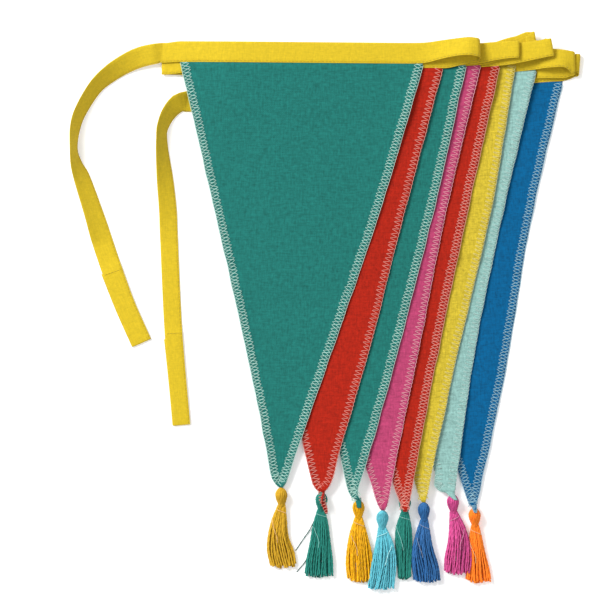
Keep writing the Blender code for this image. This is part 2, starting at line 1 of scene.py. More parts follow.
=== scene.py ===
"""Dress the folded fabric bunting: cotton pennants with overlocked edges, a sewn tape and yarn tassels.

Seen from above, +X runs right along the tape, +Y from the tassels to the tape, and +Z up from the surface.
The tables are in millimetres, as a maker would measure them, and MM turns them into Blender's metres.
"""
import math
import random
from typing import NamedTuple

import bmesh
import bpy
import numpy as np
from bpy.props import FloatProperty, FloatVectorProperty, IntProperty, PointerProperty
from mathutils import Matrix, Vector, noise
from mathutils.bvhtree import BVHTree


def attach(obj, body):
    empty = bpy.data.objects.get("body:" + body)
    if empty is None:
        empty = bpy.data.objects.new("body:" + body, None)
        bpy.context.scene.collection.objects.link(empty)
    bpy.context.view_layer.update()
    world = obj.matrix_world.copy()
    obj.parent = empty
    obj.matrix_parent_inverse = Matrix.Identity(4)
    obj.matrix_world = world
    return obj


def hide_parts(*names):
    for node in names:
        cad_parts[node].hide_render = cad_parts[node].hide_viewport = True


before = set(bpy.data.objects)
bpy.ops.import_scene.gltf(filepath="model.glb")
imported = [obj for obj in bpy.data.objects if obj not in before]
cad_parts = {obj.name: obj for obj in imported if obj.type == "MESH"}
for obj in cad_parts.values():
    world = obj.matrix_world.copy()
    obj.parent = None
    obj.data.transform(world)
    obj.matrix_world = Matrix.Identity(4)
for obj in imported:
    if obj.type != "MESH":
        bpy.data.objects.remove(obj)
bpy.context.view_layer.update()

bl_info = {
    "name": "Fabric Bunting Dresser",
    "version": (1, 0, 0),
    "blender": (4, 5, 0),
    "location": "View3D > Sidebar > Bunting",
    "description": "Builds the cloth, sewing and tassels of a folded fabric bunting on its solids",
    "category": "Object",
}

MM = 0.001

CAD_CLOTH = 1.0         # thickness of the solids' sheets
TAPE_WIDTH = 14.7
PENNANT_WIDTH = 169.5
TIP_HALF = 1.1          # half the width of a pennant's blunt tip
EDGE_STEP = 3.0         # distance between the points of a pennant's edges
EDGE_WOBBLE = 0.55      # how far those edges wander from a clean cut
EDGE_WOBBLE_SIZE = (13, 1)


class Pennant(NamedTuple):
    """One pennant. Its top edge runs left from its right corner, turned by some degrees."""
    number: int
    cotton: str
    thread: str
    stitch: str         # the face of the overlock that shows: ladder, zigzag or comb
    right_x: float
    right_y: float
    turn: float
    tip_x: float
    tip_y: float
    bow_third: float    # how far the right edge bows out a third of the way down
    bow_low: float      # and two thirds of the way down

    @property
    def node(self):
        """The name of the pennant's solid."""
        return f"pennant_{self.number}_{self.cotton}"


class Tassel(NamedTuple):
    """One tassel: the spread of its skirt, how its head lies under the tip, and how it is finished."""
    number: int
    yarn: str
    spread: tuple       # the skirt's left and right side at each quarter of its length
    skirt_end: float
    tuck: float         # how far the head is tucked under the tip
    lift: float         # how high the skirt rides over its neighbours
    slant: float        # how far the thread round the neck falls from left to right


class Fold(NamedTuple):
    """A turn of the tape: the line across it where one layer ends and the next begins."""
    top_x: float
    top_y: float
    low_x: float
    low_y: float
    reach: float


class Crease(NamedTuple):
    """A soft trough across a pennant, from one place to another."""
    start: tuple
    end: tuple
    depth: float
    width: float


class Point(NamedTuple):
    """A turned or twisted end of a pennant's cloth that lies on its tassel's head."""
    path: tuple         # places along it, with their heights
    widths: tuple       # its width at the start, in the middle and at the end
    turns: float


class Station(NamedTuple):
    """A place on a tie's middle line, with the width that it shows from above and its own."""
    x: float
    y: float
    seen: float
    width: float = TAPE_WIDTH


PENNANTS = (
    Pennant(1, "teal", "mint_thread", "ladder", 67.9, 173.2, -0.5, -31.5, -122.8, 3.2, 2.2),
    Pennant(2, "red", "coral_thread", "zigzag", 81.5, 170.5, 0.7, -3.0, -126.0, 1.1, 2.9),
    Pennant(3, "teal", "mint_thread", "ladder", 97.7, 172.5, 2.4, 22.6, -131.6, 2.0, 1.4),
    Pennant(4, "pink", "rose_thread", "zigzag", 108.0, 172.5, 3.8, 39.6, -138.6, -2.1, -0.3),
    Pennant(5, "red", "coral_thread", "ladder", 121.2, 172.0, 4.2, 55.1, -139.5, -1.3, -1.4),
    Pennant(6, "yellow", "lemon_thread", "comb", 132.5, 172.9, 4.3, 68.1, -133.0, 3.6, 1.0),
    Pennant(7, "mint", "pale_thread", "comb", 146.8, 169.0, 4.6, 88.4, -127.5, -3.9, -4.9),
    Pennant(8, "blue", "blue_thread", "ladder", 165.4, 160.3, 4.2, 103.6, -137.0, -2.5, 1.1),
)
TURNED_HEM = {7: ((76.9, -113.0), (75.9, -120.4), (77.6, -123.9), (81.9, -126.0))}
CREASES = {
    1: (Crease((30.0, 175.0), (57.0, 151.0), 0.95, 3.6), Crease((-62.0, 3.0), (10.0, 6.0), 0.55, 8.0),
        Crease((-36.0, -9.0), (4.0, 5.0), 0.35, 2.6), Crease((-24.0, 127.0), (50.0, 137.0), 0.45, 6.0),
        Crease((-32.0, 84.0), (-36.0, 20.0), 0.22, 4.0), Crease((-45.0, 166.0), (30.0, 168.0), 0.35, 5.0),
        Crease((-20.0, -30.0), (-26.0, -95.0), 0.25, 3.0)),
    2: (Crease((-8.0, -84.0), (22.0, -78.0), 0.35, 3.0), Crease((30.0, 40.0), (52.0, 34.0), 0.30, 4.0)),
    3: (Crease((60.0, 30.0), (72.0, 44.0), 0.35, 3.0), Crease((12.0, -60.0), (46.0, -72.0), 0.35, 4.0)),
    4: (Crease((40.0, -70.0), (58.0, -82.0), 0.35, 3.0), Crease((88.0, 120.0), (104.0, 128.0), 0.40, 3.0)),
    5: (Crease((60.0, -96.0), (74.0, -80.0), 0.30, 3.0),),
    6: (Crease((84.0, 40.0), (110.0, 30.0), 0.25, 4.0),),
    7: (Crease((80.0, -60.0), (100.0, -70.0), 0.30, 4.0), Crease((84.0, -104.0), (98.0, -100.0), 0.30, 3.0)),
    8: (Crease((104.0, -60.0), (124.0, -48.0), 0.35, 4.0), Crease((132.0, 84.0), (152.0, 92.0), 0.35, 4.0)),
}
POINTS = {
    2: Point(((-3.2, -124.8, 3.4), (-2.9, -128.4, 7.2), (-2.2, -132.6, 9.9), (-0.6, -136.8, 9.6),
              (0.3, -141.0, 7.0)), (4.4, 4.4, 1.6), 0.6),
    3: Point(((22.6, -129.8, 4.0), (22.7, -132.4, 7.6), (23.0, -134.8, 9.3), (23.2, -136.9, 9.4)),
             (3.8, 4.0, 3.0), 0.04),
    7: Point(((85.2, -122.8, 1.6), (86.6, -126.0, 5.2), (88.6, -129.0, 7.6), (90.8, -131.4, 8.7)),
             (6.4, 5.6, 2.6), 0.04),
    8: Point(((103.7, -135.0, 3.2), (103.9, -137.6, 5.6), (104.4, -140.4, 8.4)), (3.4, 3.2, 1.6), 0.4),
}
WRAPPED_POINTS = (2, 8)
TOP_LIFT = {6: 3.0}     # how much further a pennant's right corner is tucked into the tape
# How far a pennant's left and right edges stand out above its tip, and the length over which that fades.
TIP_FLARES = {
    1: ((4.4, 55.0), (1.4, 30.0)),
    2: ((4.5, 45.0), (3.7, 60.0)),
    3: ((5.0, 30.0), (-3.9, 70.0)),
    4: ((1.2, 25.0), (1.8, 22.0)),
    5: ((0.0, 25.0), (0.8, 22.0)),
    8: ((1.8, 25.0), (0.0, 25.0)),
}
TIP_CORNER = 2.5        # how far above the tip its blunt corners are

TASSELS = (
    Tassel(1, "mustard", ((-38.5, -27.1), (-41.3, -25.6), (-41.7, -21.4), (-38.5, -20.0)), -179.8, 0.0, 0.0,
           3.6),
    Tassel(2, "green", ((-9.8, 2.1), (-11.9, 3.7), (-14.4, 5.3), (-15.1, 5.4)), -186.2, 0.0, 0.0, 3.0),
    Tassel(3, "marigold", ((16.2, 29.0), (14.0, 32.2), (13.3, 33.6), (15.1, 32.2)), -189.8, 0.0, 0.0, 4.2),
    Tassel(4, "turquoise", ((34.5, 47.3), (31.9, 49.6), (30.0, 49.2), (28.7, 47.3)), -195.0, 0.0, 1.6, -4.4),
    Tassel(5, "green", ((48.5, 60.2), (48.0, 60.8), (49.1, 60.2), (50.4, 59.5)), -187.6, 11.5, 0.0, 3.0),
    Tassel(6, "royal", ((62.3, 73.5), (59.6, 76.0), (59.6, 79.5), (62.0, 80.5)), -189.6, 0.0, 1.4, 4.9),
    Tassel(7, "magenta", ((85.9, 97.7), (84.7, 101.2), (82.4, 102.4), (82.6, 101.2)), -184.1, 0.0, 1.6, -4.6),
    Tassel(8, "orange", ((99.8, 109.6), (98.4, 112.2), (97.6, 114.8), (97.3, 116.2)), -190.0, 0.0, 0.0, 4.4),
)

# The turns of the tape, in the order in which the tape meets them.
FOLD_A = Fold(104.2, 190.6, 104.6, 176.4, 3.4)
FOLD_LEFT_1 = Fold(-113.5, 180.6, -113.5, 165.9, 1.6)
FOLD_B = Fold(133.4, 189.4, 133.4, 177.4, 1.8)
FOLD_LEFT_2 = Fold(-85.8, 172.7, -85.8, 158.0, 1.6)
FOLD_D = Fold(155.6, 191.0, 157.8, 178.6, 1.8)
PLEAT_D = Fold(140.6, 193.4, 142.0, 180.0, 1.4)
FOLD_C = Fold(144.6, 195.8, 146.6, 182.0, 1.4)
FOLD_LEFT_3 = Fold(-60.7, 170.0, -60.7, 155.3, 1.6)
FOLD_E = Fold(171.4, 182.0, 171.4, 169.2, 2.8)
PLEAT_E = Fold(149.0, 178.0, 148.6, 163.3, 1.4)
FOLD_F = Fold(175.4, 180.6, 174.4, 167.6, 2.8)
TIE_ONE_START = Fold(-114.8, 188.3, -116.2, 174.3, 0.0)
TIE_TWO_START = Fold(-98.0, 154.6, -98.0, 140.0, 0.0)

TIE_ONE = (
    Station(-128.8, 178.5, 14.4),
    Station(-139.6, 173.9, 13.4),
    Station(-151.2, 166.6, 12.0),
    Station(-161.7, 156.8, 9.8),
    Station(-171.5, 140.7, 8.4),
    Station(-175.4, 128.8, 6.8),
    Station(-176.4, 114.1, 4.8),
    Station(-174.4, 103.0, 8.0),
    Station(-170.8, 93.8, 11.2),
    Station(-162.4, 68.6, 13.2),
    Station(-156.8, 50.4, 14.7),
    Station(-150.0, 30.2, 14.7),
    Station(-140.6, 4.6, 14.7),
    Station(-129.3, -21.0, 14.7),
)
TIE_TWO = (
    Station(-104.0, 145.6, 12.6),
    Station(-110.6, 138.0, 10.0),
    Station(-114.4, 129.0, 7.8),
    Station(-115.0, 123.2, 7.2, 14.4),
    Station(-114.6, 112.2, 8.6, 14.0),
    Station(-112.6, 92.4, 11.4, 13.4),
    Station(-110.6, 70.7, 12.4, 12.9),
    Station(-109.8, 50.4, 12.6, 12.6),
    Station(-106.8, -12.6, 12.6, 12.6),
    Station(-101.2, -78.4, 12.6, 12.6),
)
TIE_ONE_HEM = 55.0
TIE_TWO_HEM = 63.5
TIE_ONE_DROP = 36.0     # the distance over which a tie comes down from its layer to the surface
TIE_TWO_DROP = 27.0


class BuntingSettings(bpy.types.PropertyGroup):
    """Sizes and colours of the bunting that a user may change."""
    cloth_thickness: FloatProperty(
        name="Cotton thickness", description="Thickness of a pennant's cotton", default=0.0005,
        min=0.0002, max=0.0009, unit="LENGTH")
    cloth_ripple: FloatProperty(
        name="Cotton ripple", description="Height of the soft waves in a pennant", default=0.00040,
        min=0.0, max=0.0008, unit="LENGTH")
    edge_curl: FloatProperty(
        name="Edge curl", description="How far the first pennant's long edge stands up near the tape",
        default=0.0021, min=0.0, max=0.004, unit="LENGTH")
    stitch_pitch: FloatProperty(
        name="Overlock pitch", description="Distance between overlock stitches", default=0.0029,
        min=0.0015, max=0.006, unit="LENGTH")
    stitch_width: FloatProperty(
        name="Overlock width", description="Width of the overlocked edge", default=0.0052,
        min=0.002, max=0.01, unit="LENGTH")
    thread_thickness: FloatProperty(
        name="Overlock thread", description="Thickness of the overlock thread", default=0.00044,
        min=0.0002, max=0.001, unit="LENGTH")
    tape_stitch: FloatProperty(
        name="Tape stitch", description="Distance between the tape's stitches", default=0.0026,
        min=0.0015, max=0.006, unit="LENGTH")
    yarn_thickness: FloatProperty(
        name="Yarn thickness", description="Thickness of a tassel's plied yarn", default=0.00150,
        min=0.0005, max=0.002, unit="LENGTH")
    yarn_twist: FloatProperty(
        name="Yarn twist", description="Length of one full turn of the yarn's plies", default=0.0090,
        min=0.002, max=0.02, unit="LENGTH")
    yarn_count: IntProperty(
        name="Yarns", description="Number of yarns in a tassel's skirt", default=39, min=10, max=60)
    teal: FloatVectorProperty(
        name="Teal cotton", description="Colour of the teal pennants", subtype="COLOR",
        default=(0.012, 0.148, 0.127))
    red: FloatVectorProperty(
        name="Red cotton", description="Colour of the red pennants", subtype="COLOR",
        default=(0.36, 0.0145, 0.005))
    pink: FloatVectorProperty(
        name="Pink cotton", description="Colour of the pink pennant", subtype="COLOR",
        default=(0.415, 0.049, 0.134))
    yellow: FloatVectorProperty(
        name="Yellow cotton", description="Colour of the yellow pennant", subtype="COLOR",
        default=(0.54, 0.41, 0.030))
    mint: FloatVectorProperty(
        name="Mint cotton", description="Colour of the mint pennant", subtype="COLOR",
        default=(0.243, 0.435, 0.402))
    blue: FloatVectorProperty(
        name="Blue cotton", description="Colour of the blue pennant", subtype="COLOR",
        default=(0.0004, 0.098, 0.244))
    tape: FloatVectorProperty(
        name="Tape cotton", description="Colour of the binding tape", subtype="COLOR",
        default=(0.61, 0.436, 0.019))


THREADS = {
    "mint_thread": (0.40, 0.64, 0.56),
    "coral_thread": (0.74, 0.27, 0.22),
    "rose_thread": (0.72, 0.32, 0.38),
    "lemon_thread": (0.66, 0.58, 0.20),
    "pale_thread": (0.42, 0.60, 0.56),
    "blue_thread": (0.26, 0.47, 0.57),
}
YARNS = {
    "mustard": (0.90, 0.43, 0.001),
    "green": (0.001, 0.46, 0.37),
    "marigold": (0.78, 0.40, 0.0004),
    "turquoise": (0.42, 0.97, 0.98),
    "royal": (0.024, 0.130, 0.34),
    "magenta": (0.58, 0.068, 0.25),
    "orange": (0.84, 0.36, 0.012),
}


# Small helpers for places, curves and meshes.

def unit(vector):
    """Return the vector at length one."""
    return vector / np.linalg.norm(vector)


def smooth_between(start, end, start_way, end_way, steps):
    """Return points between two places on a soft curve that leaves and arrives in the given directions."""
    start, end = np.array(start), np.array(end)
    reach = np.linalg.norm(end - start)
    points = []
    for step in range(1, steps):
        t = step / steps
        a, b = 2 * t ** 3 - 3 * t ** 2 + 1, t ** 3 - 2 * t ** 2 + t
        c, d = -2 * t ** 3 + 3 * t ** 2, t ** 3 - t ** 2
        points.append(a * start + b * reach * start_way + c * end + d * reach * end_way)
    return points


def smooth_curve(places, steps):
    """Return points on a soft curve through the places, with a number of steps between neighbours."""
    places = [np.array(place, float) for place in places]
    padded = [2 * places[0] - places[1], *places, 2 * places[-1] - places[-2]]
    curve = []
    for p0, p1, p2, p3 in zip(padded, padded[1:], padded[2:], padded[3:]):
        for step in range(steps):
            t = step / steps
            curve.append(0.5 * (2 * p1 + (p2 - p0) * t + (2 * p0 - 5 * p1 + 4 * p2 - p3) * t ** 2
                                + (3 * p1 - p0 - 3 * p2 + p3) * t ** 3))
    return np.array(curve + [places[-1]])


def lengths_along(points):
    """Return the distance from the first point to each point along their line."""
    steps = np.linalg.norm(np.diff(points, axis=0), axis=1)
    return np.concatenate(([0.0], np.cumsum(steps)))


def at_distances(points, distances):
    """Return the places at some distances along a line of points."""
    along = lengths_along(points)
    return np.stack([np.interp(distances, along, points[:, n]) for n in range(points.shape[1])], axis=1)


def wave(x, y, seed, size):
    """Return a smooth random value from -1 to 1 for a place in millimetres, with features of a size."""
    return noise.noise(Vector((x / size[0], y / size[1], seed * 7.31)))


def new_object(name, points, faces, uvs=None, smooth=True):
    """Make a mesh object from points in millimetres, with a UV map in metres where one is given."""
    mesh = bpy.data.meshes.new(name)
    mesh.from_pydata([tuple(MM * value for value in point) for point in points], [], faces)
    if uvs is not None:
        layer = mesh.uv_layers.new(name="cloth")
        for loop in mesh.loops:
            layer.data[loop.index].uv = uvs[loop.vertex_index]
    mesh.update()
    if smooth:
        mesh.shade_smooth()
    item = bpy.data.objects.new(name, mesh)
    bpy.context.scene.collection.objects.link(item)
    return item


def strip_faces(rings, count):
    """Return the faces of a closed strip of rings with some points each, and its two ends."""
    faces = []
    for i in range(rings - 1):
        for k in range(count):
            after = (k + 1) % count
            faces.append((i * count + k, i * count + after, (i + 1) * count + after, (i + 1) * count + k))
    last = (rings - 1) * count
    return [*faces, tuple(range(count)), tuple(last + k for k in reversed(range(count)))]


def turn_faces_out(item):
    """Point every face of a closed mesh outwards."""
    shell = bmesh.new()
    shell.from_mesh(item.data)
    bmesh.ops.recalc_face_normals(shell, faces=shell.faces)
    shell.to_mesh(item.data)
    shell.free()


def finish_piece(item, material=None):
    """Give a finished piece its material, and let it ride with the bunting."""
    if material:
        item.data.materials.clear()
        item.data.materials.append(material)
    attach(item, "root")


# The pennants' cotton.

def top_edge(pennant):
    """Return a pennant's left corner, its right corner and the direction of its top edge."""
    turn = math.radians(pennant.turn)
    way = np.array((math.cos(turn), math.sin(turn)))
    right = np.array((pennant.right_x, pennant.right_y))
    return right - way * PENNANT_WIDTH, right, way


def pennant_edges(pennant):
    """Return a pennant's left and right edges, each a fine line of points from the tape to the tip."""
    left, right, _ = top_edge(pennant)
    tip = np.array((pennant.tip_x, pennant.tip_y))
    tip_left, tip_right = tip - (TIP_HALF, 0), tip + (TIP_HALF, 0)
    down = tip_right - right
    out = unit(np.array((-down[1], down[0])))
    right_edge = smooth_curve([right, right + down / 3 + out * pennant.bow_third,
                               right + down * 2 / 3 + out * pennant.bow_low, tip_right], 12)
    hem = TURNED_HEM.get(pennant.number)
    left_edge = np.array([left, *smooth_curve(hem, 6)] if hem else [left, tip_left])
    even = [at_distances(line, np.arange(0.0, lengths_along(line)[-1], EDGE_STEP))
            for line in (left_edge, right_edge)]
    for line, seed in zip(even, (60, 80)):
        line[:, 0] += [EDGE_WOBBLE * wave(y, 0, pennant.number + seed, EDGE_WOBBLE_SIZE) for y in line[:, 1]]
    for line, way, (flare, reach) in zip(even, (-1, 1), TIP_FLARES.get(pennant.number, ())):
        high = np.linalg.norm(line - tip, axis=1) - TIP_HALF
        line[:, 0] += way * flare * (1 - np.exp(-high / TIP_CORNER)) * np.exp(-high / reach)
    return np.concatenate((even[0], [left_edge[-1]])), np.concatenate((even[1], [right_edge[-1]]))


RAY_START = 0.05        # the height in metres from which a sheet is looked for
RAY_STEP = 1e-5         # how far under a face, in metres, the next one is looked for
FACING = 0.1            # how far a face has to point up or down to count as one of a sheet's
NEAR_START = 0.004      # the height in metres from which the nearest part of a sheet is looked for
NEAR_INSET = 0.6        # and how far inside its edge its height is read


class SheetHeights:
    """The height of the middle of a solid's sheet over any place, read from its mesh."""

    def __init__(self, node):
        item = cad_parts[node]
        self.tree = BVHTree.FromPolygons([v.co for v in item.data.vertices],
                                         [p.vertices for p in item.data.polygons])

    def layers(self, x, y):
        """Return the middle heights of the layers over a place in millimetres, from the top down."""
        found, top, height = [], None, RAY_START
        while True:
            hit, normal, _, _ = self.tree.ray_cast(Vector((x * MM, y * MM, height)), Vector((0, 0, -1)))
            if hit is None:
                return found
            if normal.z > FACING:
                top = hit.z
            elif normal.z < -FACING and top is not None:
                found.append((top + hit.z) / 2 / MM)
                top = None
            height = hit.z - RAY_STEP

    def middle(self, x, y):
        """Return the middle height of a single sheet, or of its nearest part for a place past its edge."""
        layers = self.layers(x, y)
        if layers:
            return layers[0]
        near, *_ = self.tree.find_nearest(Vector((x * MM, y * MM, NEAR_START)))
        inward = Vector((near.x / MM - x, near.y / MM - y))
        if inward.length > 0:
            inward.normalize()
        layers = self.layers(near.x / MM + inward.x * NEAR_INSET, near.y / MM + inward.y * NEAR_INSET)
        return layers[0] if layers else near.z / MM


CURL_ROWS = 7           # rows of the net over which the edge's curl grows, down from the tape
TUCK_ROWS = 2           # and over which the cloth's own waves do
COTTON_REST = 0.28      # the lowest that the middle of a pennant's cotton lies
THREAD_REST = 0.23      # and the lowest that an overlock thread does
OTHER_CURL = 0.45       # the other pennants' edge curl, as a share of the first one's
CROWDED, EVEN = 0.55, 0.45      # how far the net's columns crowd to the edges, and how far they are even
SOFTEN_STEP, SOFTEN_MOST = 0.6, 0.30    # how fast the solid's flats are rounded off, and how far at most
WAVE_SIZE = (26, 55)    # sizes of the cotton's long and short waves and of the pucker at its edges
SHORT_WAVE_SIZE = (11, 24)
PUCKER_SIZE = (8, 8)
PUCKER = 1.1            # height of the pucker, as a share of the ripple
PUCKER_REACH = 5.0      # how far in from the edge it fades
CURL_START, CURL_RISE = 30, 130     # the y where the curl starts, and the length over which it grows
CURL_REACH = 11         # how far in from the edge the curl fades
CREASE_BEND = 1.6       # how far a crease strays from its straight line
CREASE_BEND_SIZE = (14, 1)
CREASE_END = 8          # how far a crease runs on past its two places
CREASE_FADE = 20        # and the length over which it fades there
NEAR_POINTS = 4         # the net's points from which a height near the edge is taken
NEAR_BLUR = 0.05
TUCK = 1.4              # how far the top row goes up into the tape
TIP_RISE = 0.8          # how far the tip is raised on its tassel's head


class PennantCloth:
    """A pennant's cotton as a net of points, rows from the tape to the tip, columns from left to right."""
    rows = 76
    columns = 40

    def __init__(self, pennant, settings):
        self.pennant = pennant
        self.left, self.right = pennant_edges(pennant)
        self.heights = SheetHeights(pennant.node)
        self.ripple = settings.cloth_ripple / MM
        self.curl = settings.edge_curl / MM * (1.0 if pennant.number == 1 else OTHER_CURL)
        share = np.linspace(0.0, 1.0, self.rows + 1)
        left = at_distances(self.left, share * lengths_along(self.left)[-1])
        right = at_distances(self.right, share * lengths_along(self.right)[-1])
        across = 0.5 - 0.5 * np.cos(math.pi * np.linspace(0.0, 1.0, self.columns + 1))
        across = CROWDED * across + EVEN * np.linspace(0.0, 1.0, self.columns + 1)
        self.plan = left[:, None] + (right - left)[:, None] * across[None, :, None]
        z = np.array([[self.heights.middle(*place) for place in row] for row in self.plan])
        self.z = np.maximum(self.soften(z) + self.waves(left, right, across), COTTON_REST)
        self.sizes = np.stack(np.broadcast_arrays(
            (np.linalg.norm(right - left, axis=1)[:, None] * (across[None, :] - 0.5)),
            (share * lengths_along(self.right)[-1])[:, None]), axis=-1)

    @staticmethod
    def soften(z, passes=10):
        """Round off the flats of the solid's sheet."""
        smooth = z.copy()
        for _ in range(passes):
            edge = np.pad(smooth, 1, mode="edge")
            mean = (edge[:-2, 1:-1] + edge[2:, 1:-1] + edge[1:-1, :-2] + edge[1:-1, 2:]) / 4
            smooth = smooth + SOFTEN_STEP * (mean - smooth)
        return np.clip(smooth, z - SOFTEN_MOST, z + SOFTEN_MOST)

    def waves(self, left, right, across):
        """Return soft waves all over the cotton, its creases, and a small pucker along its edges."""
        number = self.pennant.number
        result = np.zeros(self.plan.shape[:2])
        for i, row in enumerate(self.plan):
            width = np.linalg.norm(right[i] - left[i])
            for j, (x, y) in enumerate(row):
                from_edge = min(across[j], 1 - across[j]) * width
                soft = wave(x, y, number, WAVE_SIZE) + 0.5 * wave(x, y, number + 20, SHORT_WAVE_SIZE)
                pucker = wave(x, y, number + 40, PUCKER_SIZE) * math.exp(-from_edge / PUCKER_REACH)
                high = min(1.0, max(0.0, (y - CURL_START) / CURL_RISE)) * min(1.0, i / CURL_ROWS)
                curl = self.curl * high * math.exp(-(1 - across[j]) * width / CURL_REACH)
                free = min(1.0, i / TUCK_ROWS)
                result[i, j] = (self.ripple * (soft + PUCKER * pucker) - self.trough(x, y)) * free + curl
        return result

    def trough(self, x, y):
        """Return how deep the pennant's creases are at a place."""
        deep = 0.0
        for crease in CREASES.get(self.pennant.number, ()):
            start, end = np.array(crease.start), np.array(crease.end)
            way = unit(end - start)
            offset = np.array((x, y)) - start
            along = float(offset @ way)
            length = float(np.linalg.norm(end - start))
            past = max(0.0, -along, along - length)
            bend = CREASE_BEND * wave(along, 0, crease.width + start[0], CREASE_BEND_SIZE)
            away = abs(float(offset[0] * way[1] - offset[1] * way[0]) + bend)
            to_end = min(along + CREASE_END, length + CREASE_END - along)
            fade = min(1.0, to_end / CREASE_FADE) if past < CREASE_END else 0.0
            deep += crease.depth * max(0.0, fade) * math.exp(-(away / crease.width) ** 2)
        return deep

    def height(self, place):
        """Return the finished cotton's height at a place near its edge, from the net's nearest points."""
        away = np.sum((self.plan - place) ** 2, axis=2)
        order = np.argsort(away, axis=None)[:NEAR_POINTS]
        weights = 1 / (away.flat[order] + NEAR_BLUR)
        return float(np.sum(self.z.flat[order] * weights) / np.sum(weights))

    def tucked(self):
        """Return the points with the top row tucked into the tape and the tip laid on its tassel."""
        points = np.concatenate((self.plan, self.z[:, :, None]), axis=2)
        _, _, way = top_edge(self.pennant)
        share = np.linspace(0.0, 1.0, points.shape[1])[:, None]
        lift = TUCK + TOP_LIFT.get(self.pennant.number, 0.0) * share ** 4
        points[0, :, :2] += np.array((-way[1], way[0])) * lift
        for i, reach in ((-1, 1.0), (-2, 0.4)):
            points[i, :, 2] += TIP_RISE * reach
        return points

    def make(self, settings):
        """Make the cotton as a thin closed sheet."""
        points = self.tucked()
        rows, columns = self.rows + 1, self.columns + 1
        half = settings.cloth_thickness / MM / 2
        upper = (points + (0, 0, half)).reshape(-1, 3)
        lower = (points - (0, 0, half)).reshape(-1, 3)
        count = rows * columns
        faces = []
        for i in range(rows - 1):
            for j in range(columns - 1):
                a, b = i * columns + j, (i + 1) * columns + j
                faces.append((a, b, b + 1, a + 1))
                faces.append((count + a, count + a + 1, count + b + 1, count + b))
        rim = list(range(columns))
        rim += [i * columns + columns - 1 for i in range(1, rows)]
        rim += [(rows - 1) * columns + j for j in range(columns - 2, -1, -1)]
        rim += [i * columns for i in range(rows - 2, 0, -1)]
        for a, b in zip(rim, rim[1:] + rim[:1]):
            faces.append((a, b, count + b, count + a))
        flat = (self.sizes * MM).reshape(-1, 2)
        uvs = [tuple(place) for place in flat] * 2
        return new_object(f"pennant_cotton_{self.pennant.number}", np.concatenate((upper, lower)), faces, uvs)


POINT_BOW = 0.5         # how far a turned end stands up along its middle
WRAP_THREADS = 2
WRAP_STEPS = 48
WRAP_START, WRAP_SPAN = 0.04, 0.92      # where the wraps start on a turned end, and how much of it they cover
WRAP_TURNS = 4.5
WRAP_JITTER = 0.3       # how unevenly they are wound, as an angle
WRAP_OUT = 0.15         # how far they stand out past the cloth's edges
WRAP_LIFT, WRAP_HALF = 0.35, 0.75       # the height of their middle over the cloth, and their half height


def make_point(pennant, settings):
    """Make the turned or twisted end of a pennant as a narrow thin sheet, and return its middle line too."""
    point = POINTS[pennant.number]
    middle = smooth_curve(point.path, 6)
    along = lengths_along(middle)
    share = along / along[-1]
    widths = np.interp(share, (0.0, 0.5, 1.0), point.widths)
    half = settings.cloth_thickness / MM / 2
    points, uvs = [], []
    columns = (-0.5, -0.25, 0.0, 0.25, 0.5)
    loop = [(a, half) for a in columns] + [(a, -half) for a in reversed(columns)]
    for place, width, s, distance in zip(middle, widths, share, along):
        turn = 2 * math.pi * point.turns * s
        for a, h in loop:
            bow = POINT_BOW * (1 - 4 * a * a)
            across, above = a * width, h + bow
            points.append((place[0] + across * math.cos(turn) - above * math.sin(turn), place[1],
                           place[2] + across * math.sin(turn) + above * math.cos(turn)))
            uvs.append((across * MM, distance * MM))
    faces = strip_faces(len(middle), len(loop))
    item = new_object(f"pennant_point_{pennant.number}", points, faces, uvs)
    turn_faces_out(item)
    return item, middle


def point_wraps(pennant, middle):
    """Return the overlock threads wound round a turned end, in metres."""
    point = POINTS[pennant.number]
    rng = random.Random(300 + pennant.number)
    along = lengths_along(middle)
    paths = []
    for n in range(WRAP_THREADS):
        path = []
        for step in range(WRAP_STEPS + 1):
            s = WRAP_START + WRAP_SPAN * step / WRAP_STEPS
            place = [np.interp(s * along[-1], along, middle[:, k]) for k in range(3)]
            width = np.interp(s, (0.0, 0.5, 1.0), point.widths) / 2 + WRAP_OUT
            angle = 2 * math.pi * (WRAP_TURNS * s + n / WRAP_THREADS)
            angle += rng.uniform(-WRAP_JITTER, WRAP_JITTER)
            path.append((MM * (place[0] + width * math.cos(angle)), MM * place[1],
                         MM * (place[2] + WRAP_LIFT + WRAP_HALF * math.sin(angle))))
        paths.append(path)
    return paths


# Stitches: small threads set along a line of frames by geometry nodes.

def new_tree(name, sockets):
    """Make an empty geometry node tree with a geometry in and out, and inputs by name and kind."""
    tree = bpy.data.node_groups.new(name, "GeometryNodeTree")
    tree.interface.new_socket(name="Geometry", in_out="INPUT", socket_type="NodeSocketGeometry")
    tree.interface.new_socket(name="Geometry", in_out="OUTPUT", socket_type="NodeSocketGeometry")
    for label, kind in sockets.items():
        tree.interface.new_socket(name=label, in_out="INPUT", socket_type=f"NodeSocket{kind}")
    source = tree.nodes.new("NodeGroupInput")
    result = tree.nodes.new("NodeGroupOutput")
    return tree, source, result


def add_node(tree, kind, inputs=None, **options):
    """Add a node, set its options, and set or link its inputs by name or index."""
    node = tree.nodes.new(kind)
    for name, value in options.items():
        setattr(node, name, value)
    for name, value in (inputs or {}).items():
        socket = node.inputs[name]
        if isinstance(value, bpy.types.NodeSocket):
            tree.links.new(value, socket)
        else:
            socket.default_value = value
    return node


